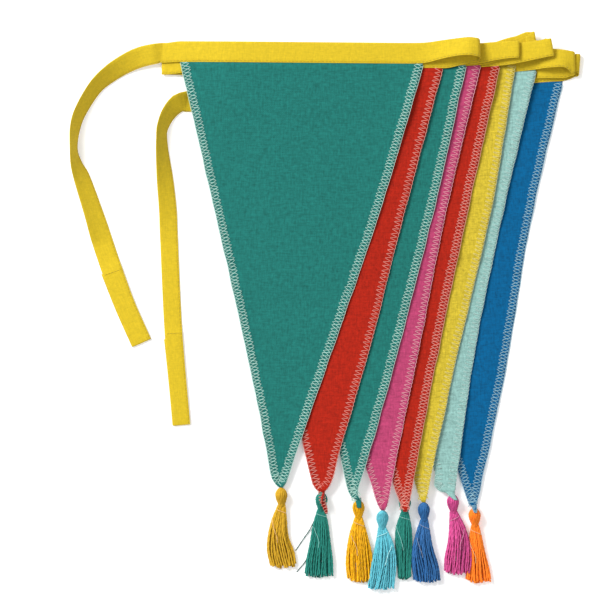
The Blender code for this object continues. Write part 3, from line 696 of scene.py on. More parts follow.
def round_thread(tree, source, path):
    """Add the nodes that give a path a round thread of the tree's thickness and sides."""
    radius = add_node(tree, "ShaderNodeMath", {0: source.outputs["Thread"], 1: 0.5}, operation="MULTIPLY")
    circle = add_node(tree, "GeometryNodeCurvePrimitiveCircle", {
        "Resolution": source.outputs["Sides"], "Radius": radius.outputs[0]})
    return add_node(tree, "GeometryNodeCurveToMesh", {
        "Curve": path, "Profile Curve": circle.outputs["Curve"], "Fill Caps": True})


def finish_tree(tree, source, result, mesh):
    """Add the nodes that smooth a mesh, make it real and give it its material, and lead it out."""
    shade = add_node(tree, "GeometryNodeSetShadeSmooth", {"Geometry": mesh})
    real = add_node(tree, "GeometryNodeRealizeInstances", {"Geometry": shade.outputs["Geometry"]})
    paint = add_node(tree, "GeometryNodeSetMaterial", {
        "Geometry": real.outputs["Geometry"], "Material": source.outputs["Material"]})
    tree.links.new(paint.outputs["Geometry"], result.inputs["Geometry"])


def thread_tree():
    """Build the tree that gives every line of a path object a round thread of one thickness."""
    tree, source, result = new_tree("sewing_thread", {
        "Stitch path": "Object", "Thread": "Float", "Sides": "Int", "Material": "Material"})
    path = add_node(tree, "GeometryNodeObjectInfo", {"Object": source.outputs["Stitch path"]})
    thread = round_thread(tree, source, path.outputs["Geometry"])
    finish_tree(tree, source, result, thread.outputs["Mesh"])
    return tree


def stitch_tree():
    """Build the tree that sets one stitch at every point, turned to the point's along and up directions."""
    tree, source, result = new_tree("sewn_stitches", {
        "Stitch path": "Object", "Stitch length": "Float", "Thread": "Float", "Sides": "Int",
        "Material": "Material"})
    path = add_node(tree, "GeometryNodeObjectInfo", {"Object": source.outputs["Stitch path"]})
    scale = add_node(tree, "ShaderNodeCombineXYZ", {
        "X": source.outputs["Stitch length"], "Y": 1.0, "Z": 1.0})
    sized = add_node(tree, "GeometryNodeTransform", {
        "Geometry": path.outputs["Geometry"], "Scale": scale.outputs["Vector"]})
    thread = round_thread(tree, source, sized.outputs["Geometry"])
    along = add_node(tree, "GeometryNodeInputNamedAttribute", {"Name": "along"}, data_type="FLOAT_VECTOR")
    up = add_node(tree, "GeometryNodeInputNamedAttribute", {"Name": "up"}, data_type="FLOAT_VECTOR")
    first = add_node(tree, "FunctionNodeAlignRotationToVector", {"Vector": along.outputs["Attribute"]},
                     axis="X")
    turned = add_node(tree, "FunctionNodeAlignRotationToVector", {
        "Rotation": first.outputs["Rotation"], "Vector": up.outputs["Attribute"]}, axis="Z", pivot_axis="X")
    sewn = add_node(tree, "GeometryNodeInstanceOnPoints", {
        "Points": source.outputs["Geometry"], "Instance": thread.outputs["Mesh"],
        "Rotation": turned.outputs["Rotation"]})
    real = add_node(tree, "GeometryNodeRealizeInstances", {"Geometry": sewn.outputs["Instances"]})
    shade = add_node(tree, "GeometryNodeSetShadeSmooth", {"Geometry": real.outputs["Geometry"]})
    paint = add_node(tree, "GeometryNodeSetMaterial", {
        "Geometry": shade.outputs["Geometry"], "Material": source.outputs["Material"]})
    tree.links.new(paint.outputs["Geometry"], result.inputs["Geometry"])
    return tree


def run_tree(name, host, tree, values):
    """Run a tree on a host object with its inputs set by socket, and return its result as a plain mesh."""
    modifier = host.modifiers.new("work", "NODES")
    modifier.node_group = tree
    for item in tree.interface.items_tree:
        if item.item_type == "SOCKET" and item.in_out == "INPUT" and item.name in values:
            modifier[item.identifier] = values[item.name]
    host.update_tag()
    depsgraph = bpy.context.evaluated_depsgraph_get()
    mesh = bpy.data.meshes.new_from_object(host.evaluated_get(depsgraph))
    mesh.name = name
    bpy.data.objects.remove(host, do_unlink=True)
    result = bpy.data.objects.new(name, mesh)
    bpy.context.scene.collection.objects.link(result)
    return result


def path_object(name, splines):
    """Make a curve object from lines of points in its own units, to be used as a stitch or as yarns."""
    curve = bpy.data.curves.new(name, "CURVE")
    curve.dimensions = "3D"
    for points in splines:
        spline = curve.splines.new("POLY")
        spline.points.add(len(points) - 1)
        for target, place in zip(spline.points, points):
            target.co = (*place, 1.0)
    item = bpy.data.objects.new(name, curve)
    bpy.context.scene.collection.objects.link(item)
    return item


class Strand(NamedTuple):
    """One thread of an overlock stitch: places along it as (along, inwards, above) in shares and mm."""
    places: tuple
    sway: float         # how unevenly it is drawn, as a share of the stitch's width


# Along runs from 0 to 1 over one stitch, inwards from 0 at the cloth's edge to 1 at the needle's line.
LADDER_FACE = (
    Strand(((0.0, 1.08, 0.44), (0.13, 0.86, 0.44), (0.34, 0.40, 0.42), (0.46, 0.08, 0.40), (0.54, 0.08, 0.40),
            (0.70, 0.46, 0.42), (0.88, 0.90, 0.44)), 0.05),
    Strand(((0.0, 0.07, 0.42), (0.20, 0.44, 0.62), (0.38, 0.90, 0.56), (0.50, 1.08, 0.50), (0.63, 0.86, 0.56),
            (0.84, 0.40, 0.62), (0.96, 0.08, 0.46)), 0.05),
    Strand(((0.0, -0.05, 0.20), (0.25, -0.09, -0.08), (0.5, -0.04, 0.24), (0.75, -0.09, -0.08)), 0.03),
)
ZIGZAG_FACE = (
    Strand(((0.0, 0.02, 0.40), (0.13, 0.30, 0.44), (0.34, 0.74, 0.46), (0.47, 0.98, 0.44), (0.62, 0.80, 0.46),
            (0.84, 0.30, 0.44)), 0.09),
    Strand(((0.0, -0.04, 0.22), (0.35, -0.09, -0.12), (0.7, 0.00, 0.34)), 0.05),
)
COMB_FACE = (
    Strand(((0.0, 0.02, 0.38), (0.20, 0.40, 0.42), (0.50, 0.96, 0.42), (0.66, 0.97, 0.42), (0.56, 0.52, 0.42),
            (0.60, 0.10, 0.42)), 0.05),
    Strand(((0.0, -0.03, 0.22), (0.5, -0.07, -0.12), (0.8, 0.00, 0.30)), 0.04),
)
UNDER_FACE = (
    Strand(((0.0, 0.05, -0.42), (0.5, 0.93, -0.46)), 0.05),
    Strand(((0.1, 0.93, -0.46), (0.5, 0.98, -0.44), (0.9, 0.93, -0.46)), 0.03),
)
FACES = {"ladder": LADDER_FACE, "zigzag": ZIGZAG_FACE, "comb": COMB_FACE}
PITCHES = {"ladder": 1.6, "zigzag": 1.0, "comb": 1.0}      # the stitch's length, as a share of the pitch


def sew(name, tree, paths, values, path_input="Stitch path"):
    """Run a thread or yarn tree along some lines in metres and return the finished piece."""
    line = path_object(f"{name}_paths", paths)
    host = bpy.data.objects.new(f"{name}_host", bpy.data.meshes.new(f"{name}_host"))
    bpy.context.scene.collection.objects.link(host)
    piece = run_tree(name, host, tree, {path_input: line, **values})
    bpy.data.objects.remove(line, do_unlink=True)
    return piece


def running_stitch():
    """Return one short stitch that dips into the cloth at both ends."""
    return [[(-0.40, 0.0, -0.0003), (-0.30, 0.0, 0.00008), (0.0, 0.0, 0.00014), (0.30, 0.0, 0.00008),
             (0.40, 0.0, -0.0003)]]


def stitch_points(name, frames):
    """Make the host object whose points hold the stitches' places and directions."""
    mesh = bpy.data.meshes.new(name)
    mesh.from_pydata([tuple(row[0] * MM) for row in frames], [], [])
    for column, label in ((1, "along"), (2, "up")):
        values = mesh.attributes.new(label, "FLOAT_VECTOR", "POINT")
        values.data.foreach_set("vector", np.array([row[column] for row in frames], float).ravel())
    item = bpy.data.objects.new(name, mesh)
    bpy.context.scene.collection.objects.link(item)
    return item


NEEDLE_IN = 4.0         # how far in from the edge the cloth's slope is taken
DRAWN_SWAY = 0.7        # how a strand's sway shows in its width and in each of its places
PLACE_SWAY = 0.15
TAPE_LEAD = 0.6         # how far before the seam the threads start to be pressed down by the tape
TAPE_PRESS = 0.8        # and how far they are


def overlock_frames(cloth, line, pitch):
    """Return a place, the stitch's way along the edge, inwards and up for each stitch of one edge."""
    total = lengths_along(line)[-1]
    count = int(total / pitch)
    knots = at_distances(line, np.linspace(0.0, total, count + 1))
    frames = []
    for start, end in zip(knots, knots[1:]):
        inward = unit(np.array((-(end - start)[1], (end - start)[0])))
        place = np.array((*start, cloth.height(start)))
        ahead = np.array((*end, cloth.height(end))) - place
        inner = cloth.height(start + inward * NEEDLE_IN)
        side = unit(np.array((*(inward * NEEDLE_IN), inner - place[2])))
        frames.append((place, ahead, side, unit(np.cross(ahead, side))))
    return frames


def overlock_paths(cloth, settings):
    """Return the overlock's threads along both slanted edges, in metres, the cloth on their left."""
    pennant = cloth.pennant
    corner, _, seam = top_edge(pennant)
    upward = np.array((-seam[1], seam[0]))
    rng = random.Random(100 + pennant.number)
    width = settings.stitch_width / MM
    paths = []
    for line in (cloth.left, cloth.right[::-1]):
        frames = overlock_frames(cloth, line, settings.stitch_pitch / MM * PITCHES[pennant.stitch])
        for strand in FACES[pennant.stitch] + UNDER_FACE:
            path = []
            for place, ahead, side, up in frames:
                drawn = 1 + rng.gauss(0, strand.sway * DRAWN_SWAY)
                lean = rng.gauss(0, strand.sway)
                for along, inward, above in strand.places:
                    inward = inward * drawn + rng.gauss(0, strand.sway * PLACE_SWAY)
                    where = place + ahead * (along + lean * inward) + side * inward * width
                    under_tape = min(1.0, max(0.0, (where[:2] - corner) @ upward + TAPE_LEAD))
                    where = where + up * above * (1 - TAPE_PRESS * under_tape)
                    path.append((where[0] * MM, where[1] * MM, max(where[2], THREAD_REST) * MM))
            paths.append(path)
    return paths


# The tape: one strip that runs from the end of the first tie to the end of the second.

class Section(NamedTuple):
    """A place on the tape: its lower and upper edge, in millimetres, on the middle of its thickness."""
    low: np.ndarray
    top: np.ndarray


class Ease(NamedTuple):
    """How a layer of the tape departs from its seam at one x: its two edges in the plan and in height."""
    x: float
    low_shift: float = 0.0
    top_shift: float = 0.0
    low_rise: float = 0.0
    top_rise: float = 0.0


# The layers are numbered from the first tie's layer down to the second's.
EASES = {
    0: (Ease(52.0), Ease(67.0, 0.3, 0.2, 0.2), Ease(80.0, 2.4, 1.2, 2.8), Ease(91.0, 3.2, 1.5, 4.6, 0.3),
        Ease(100.0, 2.9, 1.6, 4.2, 0.2), Ease(104.8, 1.7, 0.9, 2.0, -0.2)),
    1: (Ease(74.0), Ease(88.0, -0.8), Ease(98.0, -1.8, -0.6, -0.3), Ease(104.0, -1.6, -1.8, -0.4, -0.2)),
    5: (Ease(140.6), Ease(144.5, -2.0, -1.6), Ease(148.5, -2.6, -2.6), Ease(152.5, -1.8, -1.8),
        Ease(155.6)),
    7: (Ease(110.0), Ease(120.4, 2.4, 2.5), Ease(128.8, 4.3, 4.6), Ease(135.8, 4.5, 5.1),
        Ease(141.4, 2.3, 2.6), Ease(144.8, 0.3, 0.3)),
    8: (Ease(136.0), Ease(147.0, 0.4, 0.0, 0.8, 0.6), Ease(152.0, 0.9, 0.2, 2.6, 1.0),
        Ease(157.0, 1.2, 0.8, 4.0, 1.2), Ease(164.5, 1.8, 1.2, 4.4, 1.0), Ease(168.0, 0.9, 1.0, 3.4, 0.6),
        Ease(170.2, -0.9, 0.7, 1.9, 0.4), Ease(171.6, -2.9, 0.4, 0.9, 0.3)),
    9: (Ease(148.6, 0.0, 0.0, -1.0, -1.0), Ease(155.0, -1.6, -1.4, -0.5, -0.5), Ease(163.8, -3.8, -3.0),
        Ease(169.4, -4.8, -2.4), Ease(171.5, -4.2, -1.4)),
    10: (Ease(160.0), Ease(169.5, 0.0, 0.0, -0.1, -0.1), Ease(172.0, 0.0, 0.0, 0.3, 0.5),
         Ease(174.6, 0.0, 0.0, 1.8, 3.0), Ease(176.0, 0.0, 0.0, 2.2, 3.4)),
    11: (Ease(120.0), Ease(140.0, 1.0), Ease(153.0, 1.4, 0.3), Ease(163.0, 1.1, 0.5), Ease(165.4, 1.1, 0.4),
         Ease(167.2, 0.8, 0.3), Ease(169.3, -1.0), Ease(170.8, -2.6), Ease(172.7, -3.6), Ease(174.6, -3.1)),
}
TAPE_FACE = ((0.15, 0.28), (0.45, 0.41), (0.85, 0.39), (1.15, 0.27), (1.45, 0.39), (2.6, 0.43), (5.0, 0.44),
             (7.4, 0.45), (9.8, 0.44), (12.2, 0.43), (13.7, 0.40), (14.4, 0.24))
HIDDEN_LAYERS = {9: 3.2, 10: 1.85}      # the heights of the pleat that the solid has only in part
TAPE_STEP = 3.0
TURN_STEPS = 9
TAPE_STITCH_IN = 1.15   # the stitch line's distance from the tape's lower edge
TAPE_STITCH_HIGH = 0.30
TAPE_RUB = 0.05         # how uneven the tape's faces are
TAPE_RUB_SIZE = (5, 6)
LAYER_INSET = 0.8       # how far inside a fold the solid's height is read
LAYER_CLEAR = 0.7       # how much lower than the last one the next layer has to be
LAYER_PITCH = 1.3       # and how much lower it is taken to be where the solid has none
LAYER_DRIFT = 0.8       # how much a layer's height may change in one step
LAYER_SOFTEN = 0.3      # how far its flats are rounded off at most


def fold_line(fold):
    """Return a fold's two ends, the upper one first."""
    return np.array((fold.top_x, fold.top_y)), np.array((fold.low_x, fold.low_y))


def fold_way(fold, side):
    """Return the direction in which a fold's round turn stands out, to the right or left by side."""
    top, low = fold_line(fold)
    way = unit((top - low)[::-1] * (1, -1))
    return way * side * math.copysign(1, way[0])


def leg_plan(pennant, left_fold, right_fold):
    """Return a layer's lower and upper edge, from its left fold along a pennant's top to its right fold."""
    (left_top, left_low), (right_top, right_low) = fold_line(left_fold), fold_line(right_fold)
    if pennant is None:
        return np.array([left_low, right_low]), np.array([left_top, right_top])
    left, right, way = top_edge(pennant)
    up = np.array((-way[1], way[0])) * TAPE_WIDTH
    out_left, out_right = -fold_way(left_fold, -1), fold_way(right_fold, 1)
    lower = [left_low, *smooth_between(left_low, left, out_left, way, 8), left, right,
             *smooth_between(right, right_low, way, out_right, 12), right_low]
    upper = [left_top, *smooth_between(left_top, left + up, out_left, way, 8), left + up, right + up,
             *smooth_between(right + up, right_top, way, out_right, 12), right_top]
    return np.array(lower), np.array(upper)


def even_steps(lower, upper):
    """Split a layer's matching edges so that no step along it is longer than TAPE_STEP."""
    lows, tops = [lower[0]], [upper[0]]
    for a, b, c, d in zip(lower, lower[1:], upper, upper[1:]):
        count = max(1, math.ceil(np.linalg.norm((b + d - a - c) / 2) / TAPE_STEP))
        for step in range(1, count + 1):
            lows.append(a + (b - a) * step / count)
            tops.append(c + (d - c) * step / count)
    return np.array(lows), np.array(tops)


class TapeWalk:
    """Walks the tape's solid from layer to layer and keeps the height that it is at."""
    shares = (0.15, 0.85)

    def __init__(self):
        self.heights = SheetHeights("tape_with_ties")
        self.now = None

    def walk(self, lows, tops, held=None):
        """Return the heights of a layer's two edges at every step, near a held height where one is given."""
        middle = (lows + tops) / 2
        found = []
        turning = self.now is not None and held is None
        if held is not None:
            self.now = [held] * len(self.shares)
        for i, (low, top) in enumerate(zip(lows, tops)):
            if i == 0:
                inset = unit(middle[1] - middle[0]) * LAYER_INSET
            elif i == len(lows) - 1:
                inset = unit(middle[-2] - middle[-1]) * LAYER_INSET
            else:
                inset = np.zeros(2)
            current = []
            for n, share in enumerate(self.shares):
                place = low + (top - low) * share + inset
                layers = self.heights.layers(*place)
                if self.now is None:
                    choice = max(layers) if layers else 1.0
                elif turning:
                    below = [z for z in layers if z < self.now[n] - LAYER_CLEAR]
                    choice = max(below) if below else self.now[n] - LAYER_PITCH
                else:
                    choice = min(layers, key=lambda z: abs(z - self.now[n]), default=self.now[n])
                    if abs(choice - self.now[n]) > LAYER_DRIFT:
                        choice = self.now[n]
                current.append(choice)
            self.now = current if held is None else [held] * len(current)
            turning = False
            found.append(current)
        inner = self.soften(np.array(found))
        slope = (inner[:, 1] - inner[:, 0]) / (self.shares[1] - self.shares[0])
        low_z = inner[:, 0] - slope * self.shares[0]
        return np.stack((low_z, low_z + slope), axis=1)

    @staticmethod
    def soften(heights, passes=8):
        """Round off the flats of the solid along a layer, with its ends kept."""
        smooth = heights.copy()
        for _ in range(passes):
            smooth[1:-1] += 0.5 * ((smooth[:-2] + smooth[2:]) / 2 - smooth[1:-1])
        return np.clip(smooth, heights - LAYER_SOFTEN, heights + LAYER_SOFTEN)


def ease_layer(number, layer):
    """Let a layer depart from its seam as the table of eases says."""
    if number not in EASES:
        return layer
    table = smooth_curve(EASES[number], 8)
    eased = []
    for low, top in layer:
        shifts = [np.interp(low[0], table[:, 0], table[:, n]) for n in range(1, 5)]
        eased.append(Section(low + (0, shifts[0], shifts[2]), top + (0, shifts[1], shifts[3])))
    return eased


def turn_sections(before, after, way, reach):
    """Return the sections of a half-round turn from one layer's end to the next layer's start."""
    sections = []
    for step in range(1, TURN_STEPS):
        angle = math.pi * step / TURN_STEPS
        ends = []
        for a, b in ((before.low, after.low), (before.top, after.top)):
            middle, rise = (a + b) / 2, (a - b) / 2
            place = middle + rise * math.cos(angle)
            place[:2] += way * (reach - CAD_CLOTH / 2) * math.sin(angle)
            ends.append(place)
        sections.append(Section(*ends))
    return sections


def tie_line(start, stations):
    """Return a tie's fine line of stations, from where it leaves its layer, and the lengths along it."""
    middle = (start.low + start.top) / 2
    first = Station(middle[0], middle[1], np.linalg.norm((start.top - start.low)[:2]))
    fine = smooth_curve([first, *stations], 14)
    return fine, lengths_along(fine[:, :2])


TIE_REST = 0.52         # height of the middle of a tie that lies on the surface
HEM_RISE = 0.93         # how much higher it lies over its hem
HEM_RAMP = 5.0          # and the length over which it rises
HEM_TOP, HEM_UNDER = 1.45, 0.50     # heights of the hem's two layers at the tie's end
HEM_TURN = 0.9          # how far the turn stands out there
HEM_SKEW = 0.9          # how far the turned part has slipped sideways


def tie_sections(start, stations, hem, drop):
    """Return a tie's sections from its layer to its end, and on under itself for the length of its hem."""
    fine, along = tie_line(start, stations)
    total = along[-1]

    def section(distance, rise, shift=0.0):
        x, y, seen, width = (np.interp(distance, along, fine[:, n]) for n in range(4))
        ahead = np.array([np.interp(distance + 2, along, fine[:, n]) for n in (0, 1)])
        behind = np.array([np.interp(distance - 2, along, fine[:, n]) for n in (0, 1)])
        way = unit(ahead - behind)
        outward = np.array((way[1], -way[0]))
        seen = min(seen, width)
        fall = max(0.0, 1 - distance / drop)
        fall = fall ** 2 * (3 - 2 * fall)
        tilt = math.acos(seen / width)
        ends = []
        for share, layer in ((0.0, start.low[2]), (1.0, start.top[2])):
            place = np.array((x, y)) + outward * ((share - 0.5) * seen + shift)
            height = share * width * math.sin(tilt) + (layer - CAD_CLOTH / 2) * fall + rise
            ends.append(np.array((*place, height)))
        return Section(*ends)

    sections = []
    for distance in np.arange(TAPE_STEP, total + 0.1, TAPE_STEP):
        into_hem = min(1.0, max(0.0, (distance - (total - hem) + HEM_RAMP) / HEM_RAMP))
        sections.append(section(distance, TIE_REST + HEM_RISE * into_hem))
    last = section(total, HEM_TOP)
    under = section(total, HEM_UNDER)
    way = unit(((last.low + last.top) - (sections[-4].low + sections[-4].top))[:2])
    sections = sections[:-1] + [last] + turn_sections(last, under, way, HEM_TURN) + [under]
    for distance in np.arange(total - TAPE_STEP, total - hem + 0.5, -TAPE_STEP):
        back = (total - distance) / hem
        sections.append(section(distance, HEM_UNDER, HEM_SKEW * back ** 3))
    return sections


def tape_path():
    """Return every section of the tape in order."""
    p = PENNANTS
    order = (
        (p[0], TIE_ONE_START, FOLD_A, 1), (p[1], FOLD_LEFT_1, FOLD_A, -1), (p[2], FOLD_LEFT_1, FOLD_B, 1),
        (p[3], FOLD_LEFT_2, FOLD_B, -1), (p[4], FOLD_LEFT_2, FOLD_D, 1), (None, PLEAT_D, FOLD_D, -1),
        (None, PLEAT_D, FOLD_C, 1), (p[5], FOLD_LEFT_3, FOLD_C, -1), (p[6], FOLD_LEFT_3, FOLD_E, 1),
        (None, PLEAT_E, FOLD_E, -1), (None, PLEAT_E, FOLD_F, 1), (p[7], TIE_TWO_START, FOLD_F, -1),
    )
    walk = TapeWalk()
    path = []
    for number, (pennant, left_fold, right_fold, side) in enumerate(order):
        lows, tops = even_steps(*leg_plan(pennant, left_fold, right_fold))
        if side < 0:
            lows, tops = lows[::-1], tops[::-1]
        heights = walk.walk(lows, tops, HIDDEN_LAYERS.get(number))
        layer = [Section(np.array((*low, z[0])), np.array((*top, z[1])))
                 for low, top, z in zip(lows, tops, heights)]
        layer = ease_layer(number, layer)
        if path:
            fold = right_fold if side < 0 else left_fold
            path += turn_sections(path[-1], layer[0], fold_way(fold, -side), fold.reach)
        path += layer
    tie_one = tie_sections(path[0], TIE_ONE, TIE_ONE_HEM, TIE_ONE_DROP)
    tie_two = tie_sections(path[-1], TIE_TWO, TIE_TWO_HEM, TIE_TWO_DROP)
    return tie_one[::-1] + path + tie_two


def tape_frames(path):
    """Return each section's low corner, its unit direction across, its width and its unit normal."""
    middles = np.array([(section.low + section.top) / 2 for section in path])
    ahead = np.gradient(middles, axis=0)
    frames = []
    for section, way in zip(path, ahead):
        across = section.top - section.low
        width = np.linalg.norm(across)
        across = across / width
        normal = unit(np.cross(way, across))
        frames.append((section.low, across, width, normal, unit(way)))
    return frames, lengths_along(middles)


def make_tape(path):
    """Make the tape as one strip with a rounded fold on its upper edge and an open lower edge."""
    frames, along = tape_frames(path)
    profile = [(0.5, 0.0), *TAPE_FACE, (TAPE_WIDTH, 0.0), *[(a, -h) for a, h in reversed(TAPE_FACE)]]
    points, uvs = [], []
    for (low, across, width, normal, _), distance in zip(frames, along):
        stretch = width / TAPE_WIDTH
        for a, h in profile:
            rub = TAPE_RUB * wave(distance, a * 3, 3, TAPE_RUB_SIZE)
            points.append(low + across * a * stretch + normal * (h + math.copysign(rub, h)))
            uvs.append((distance * MM, a * MM))
    item = new_object("tape_cotton", points, strip_faces(len(frames), len(profile)), uvs)
    turn_faces_out(item)
    return item, along[-1]


STITCH_SWAY = 0.08      # how unevenly the tape's stitches are in line
HEM_SEAM_IN = 2.0       # how far the seam is from the turned part's end
HEM_STITCH_HIGH = 0.40
HEM_STITCH_START, HEM_STITCH_STOP, HEM_STITCH_STEP = 1.4, 0.8, 2.2      # across the tie


def tape_stitch_frames(path, settings):
    """Return the stitch frames along both faces of the tape, and across the seams of its two hems."""
    frames, along = tape_frames(path)
    pitch = settings.tape_stitch / MM
    tables = [np.array([row[n] for row in frames]) for n in (0, 1, 3, 4)]
    widths = np.array([row[2] for row in frames])

    def frame_at(distance):
        return [np.array([np.interp(distance, along, table[:, n]) for n in range(3)]) for table in tables]

    rng = random.Random(7)
    result = []
    for distance in np.arange(pitch, along[-1] - pitch, pitch):
        low, side, normal, way = frame_at(distance)
        for face in (1, -1):
            out = unit(normal) * face
            place = low + side * (TAPE_STITCH_IN + rng.uniform(-STITCH_SWAY, STITCH_SWAY))
            result.append((place + out * TAPE_STITCH_HIGH, unit(way), out))
    for hem, end in ((TIE_ONE_HEM, 0), (TIE_TWO_HEM, 1)):
        distance = 2 * hem - HEM_SEAM_IN
        if end:
            distance = along[-1] - distance
        low, side, normal, _ = frame_at(distance)
        normal = unit(normal) * (1 if normal[2] > 0 else -1)
        width = np.interp(distance, along, widths)
        for step in np.arange(HEM_STITCH_START, width - HEM_STITCH_STOP, HEM_STITCH_STEP):
            place = low + side * step + normal * HEM_STITCH_HIGH
            result.append((place, unit(side), normal))
    return result


# The tassels.

HEAD_LENGTH = 12.6
HEAD_RADIUS = 4.35
HEAD_SIDES = 32
HEAD_RINGS = 18
HEAD_YARNS = 19
HEAD_OUTLINE = ((0.0, 0.06), (0.05, 0.42), (0.14, 0.74), (0.27, 0.94), (0.40, 1.0), (0.55, 0.94),
                (0.70, 0.80), (0.85, 0.63), (1.0, 0.53))
NECK = (2.2, 2.0)       # the neck's half width and half height
NECK_HEIGHT = 2.9
SHOULDER = 1.9          # how far under the neck its thread goes round
TIE_THREAD = 0.00042
STRAY_THREAD = 0.00080
CORE_INSET = 0.75       # how far inside the head's outline its core is
HEAD_TWIST = 0.3        # how far a head is twisted at most, as an angle
HEAD_REST = 0.3         # the lowest that a head's outline goes
HEAD_SETTLE = 3.0       # how fast the head comes down from its tip's height to the surface
HEAD_MIDDLE = 0.4       # the share of its length from which its middle goes over to the neck's height
YARN_START, YARN_STOP, YARN_STEPS = 0.03, 1.02, 17      # where the head's yarns run


def tassel_axes(pennant, tassel):
    """Return a tassel's start, its direction, its sideways direction and the middle of its skirt's end."""
    tip = np.array((pennant.tip_x, pennant.tip_y))
    end = np.array((sum(tassel.spread[-1]) / 2, tassel.skirt_end))
    start = tip + unit(end - tip) * (0.2 - tassel.tuck)
    way = unit(end - start)
    return start, way, np.array((-way[1], way[0])), end


class TasselHead:
    """The bulb over a tassel's neck, as a place for any angle round it and share of its length."""
    outline = smooth_curve(HEAD_OUTLINE, 6)

    def __init__(self, pennant, tassel, start_height):
        self.start, self.way, self.side, _ = tassel_axes(pennant, tassel)
        self.height = start_height
        self.twist = random.Random(40 + tassel.number).uniform(-HEAD_TWIST, HEAD_TWIST)

    def place(self, share, angle, inset=0.0):
        """Return a place on the bulb, some way inside its outline."""
        radius = float(np.interp(share, self.outline[:, 0], self.outline[:, 1])) * HEAD_RADIUS
        angle = angle + self.twist * share
        settle = min(1.0, share * HEAD_SETTLE)
        middle = self.height * (1 - settle) + HEAD_RADIUS * settle
        middle += (NECK_HEIGHT - HEAD_RADIUS) * max(0.0, (share - HEAD_MIDDLE) / (1 - HEAD_MIDDLE))
        across = self.start + self.way * HEAD_LENGTH * share + self.side * (radius - inset) * math.cos(angle)
        flat = min(1.0, NECK[1] / NECK[0] + 0.1)
        return (*across, max(HEAD_REST + inset, middle + (radius - inset) * flat * math.sin(angle)))

    def core(self, number):
        """Make the closed core that the head's yarns lie on."""
        points = [self.place(0.02, 0.0)]
        for ring in range(1, HEAD_RINGS + 1):
            share = ring / HEAD_RINGS
            points += [self.place(share, 2 * math.pi * k / HEAD_SIDES, CORE_INSET) for k in range(HEAD_SIDES)]
        faces = []
        for k in range(HEAD_SIDES):
            after = (k + 1) % HEAD_SIDES
            faces.append((0, 1 + k, 1 + after))
            for ring in range(HEAD_RINGS - 1):
                a, b = 1 + ring * HEAD_SIDES, 1 + (ring + 1) * HEAD_SIDES
                faces.append((a + k, b + k, b + after, a + after))
        faces.append(tuple(1 + (HEAD_RINGS - 1) * HEAD_SIDES + k for k in range(HEAD_SIDES)))
        item = new_object(f"tassel_head_{number}", points, faces)
        turn_faces_out(item)
        return item

    def yarns(self, radius):
        """Return the yarns that run from the top over the bulb to the neck, in metres."""
        paths = []
        for k in range(HEAD_YARNS):
            angle = 2 * math.pi * (k + 0.5) / HEAD_YARNS
            paths.append([tuple(MM * value for value in self.place(share, angle, radius * 0.9))
                          for share in np.linspace(YARN_START, YARN_STOP, YARN_STEPS)])
        return paths


def skirt_sides(tassel, neck, side):
    """Return a function that gives a skirt's left and right side at a share of its length."""
    half = side * NECK[0]
    places = sorted(((neck - half)[0], (neck + half)[0]))
    rows = smooth_curve([tuple(places), *tassel.spread], 8)
    shares = np.linspace(0.0, 1.0, len(rows))
    return lambda t: (np.interp(t, shares, rows[:, 0]), np.interp(t, shares, rows[:, 1]))


SKIRT_ROWS = 3
SKIRT_STEPS = 20
SKIRT_FALL = 2.2        # how fast the skirt comes down from the neck to the surface
SKIRT_ARCH = 1.9        # how high it is domed across its middle
ROW_RISE = 1.45         # how much higher the next row of yarns lies, in yarn radii
CREST_SIZE = (0.17, 0.80)       # sizes of the skirt's uneven rises and of its sideways drift
DRIFT_SIZE = (0.30, 0.62)
DRIFT = 1.5             # how far the yarns drift sideways together
PLACE_JITTER = 0.012    # how uneven the yarns' places across the skirt are
RAGGED, RAGGED_SIDES = 0.055, 0.035     # how unevenly they are cut, and how much shorter the outer ones are
SWAYS = (0.2, 0.7)      # the least and most that one yarn sways, its number of half waves, its end's hook
SWAY_SPEEDS = (1.4, 2.6)
HOOKS = (-0.8, 1.3)
PROUDS = (-0.5, 0.6)    # and how much it stands up
HOOK_START = 0.88


def skirt_height(tassel, place, t, row, radius):
    """Return the height of a yarn's middle, for its place across the skirt, its share down it and its row."""
    fall = min(1.0, t * SKIRT_FALL)
    fall = fall * fall * (3 - 2 * fall)
    rest = radius + row * radius * ROW_RISE + tassel.lift * (1 - 0.4 * t)
    round_off = 1 - (2 * place - 1) ** 2
    arch = SKIRT_ARCH * round_off * math.sin(math.pi * min(1.0, t * 1.15)) * (0.35 + 0.3 * row)
    crest = wave(place, t, tassel.number + 31, CREST_SIZE) * min(1.0, 2 * t)
    height = (NECK_HEIGHT + (row - 1) * NECK[1] * 0.55) * (1 - fall) + (rest + arch + crest) * fall
    return max(height, radius)


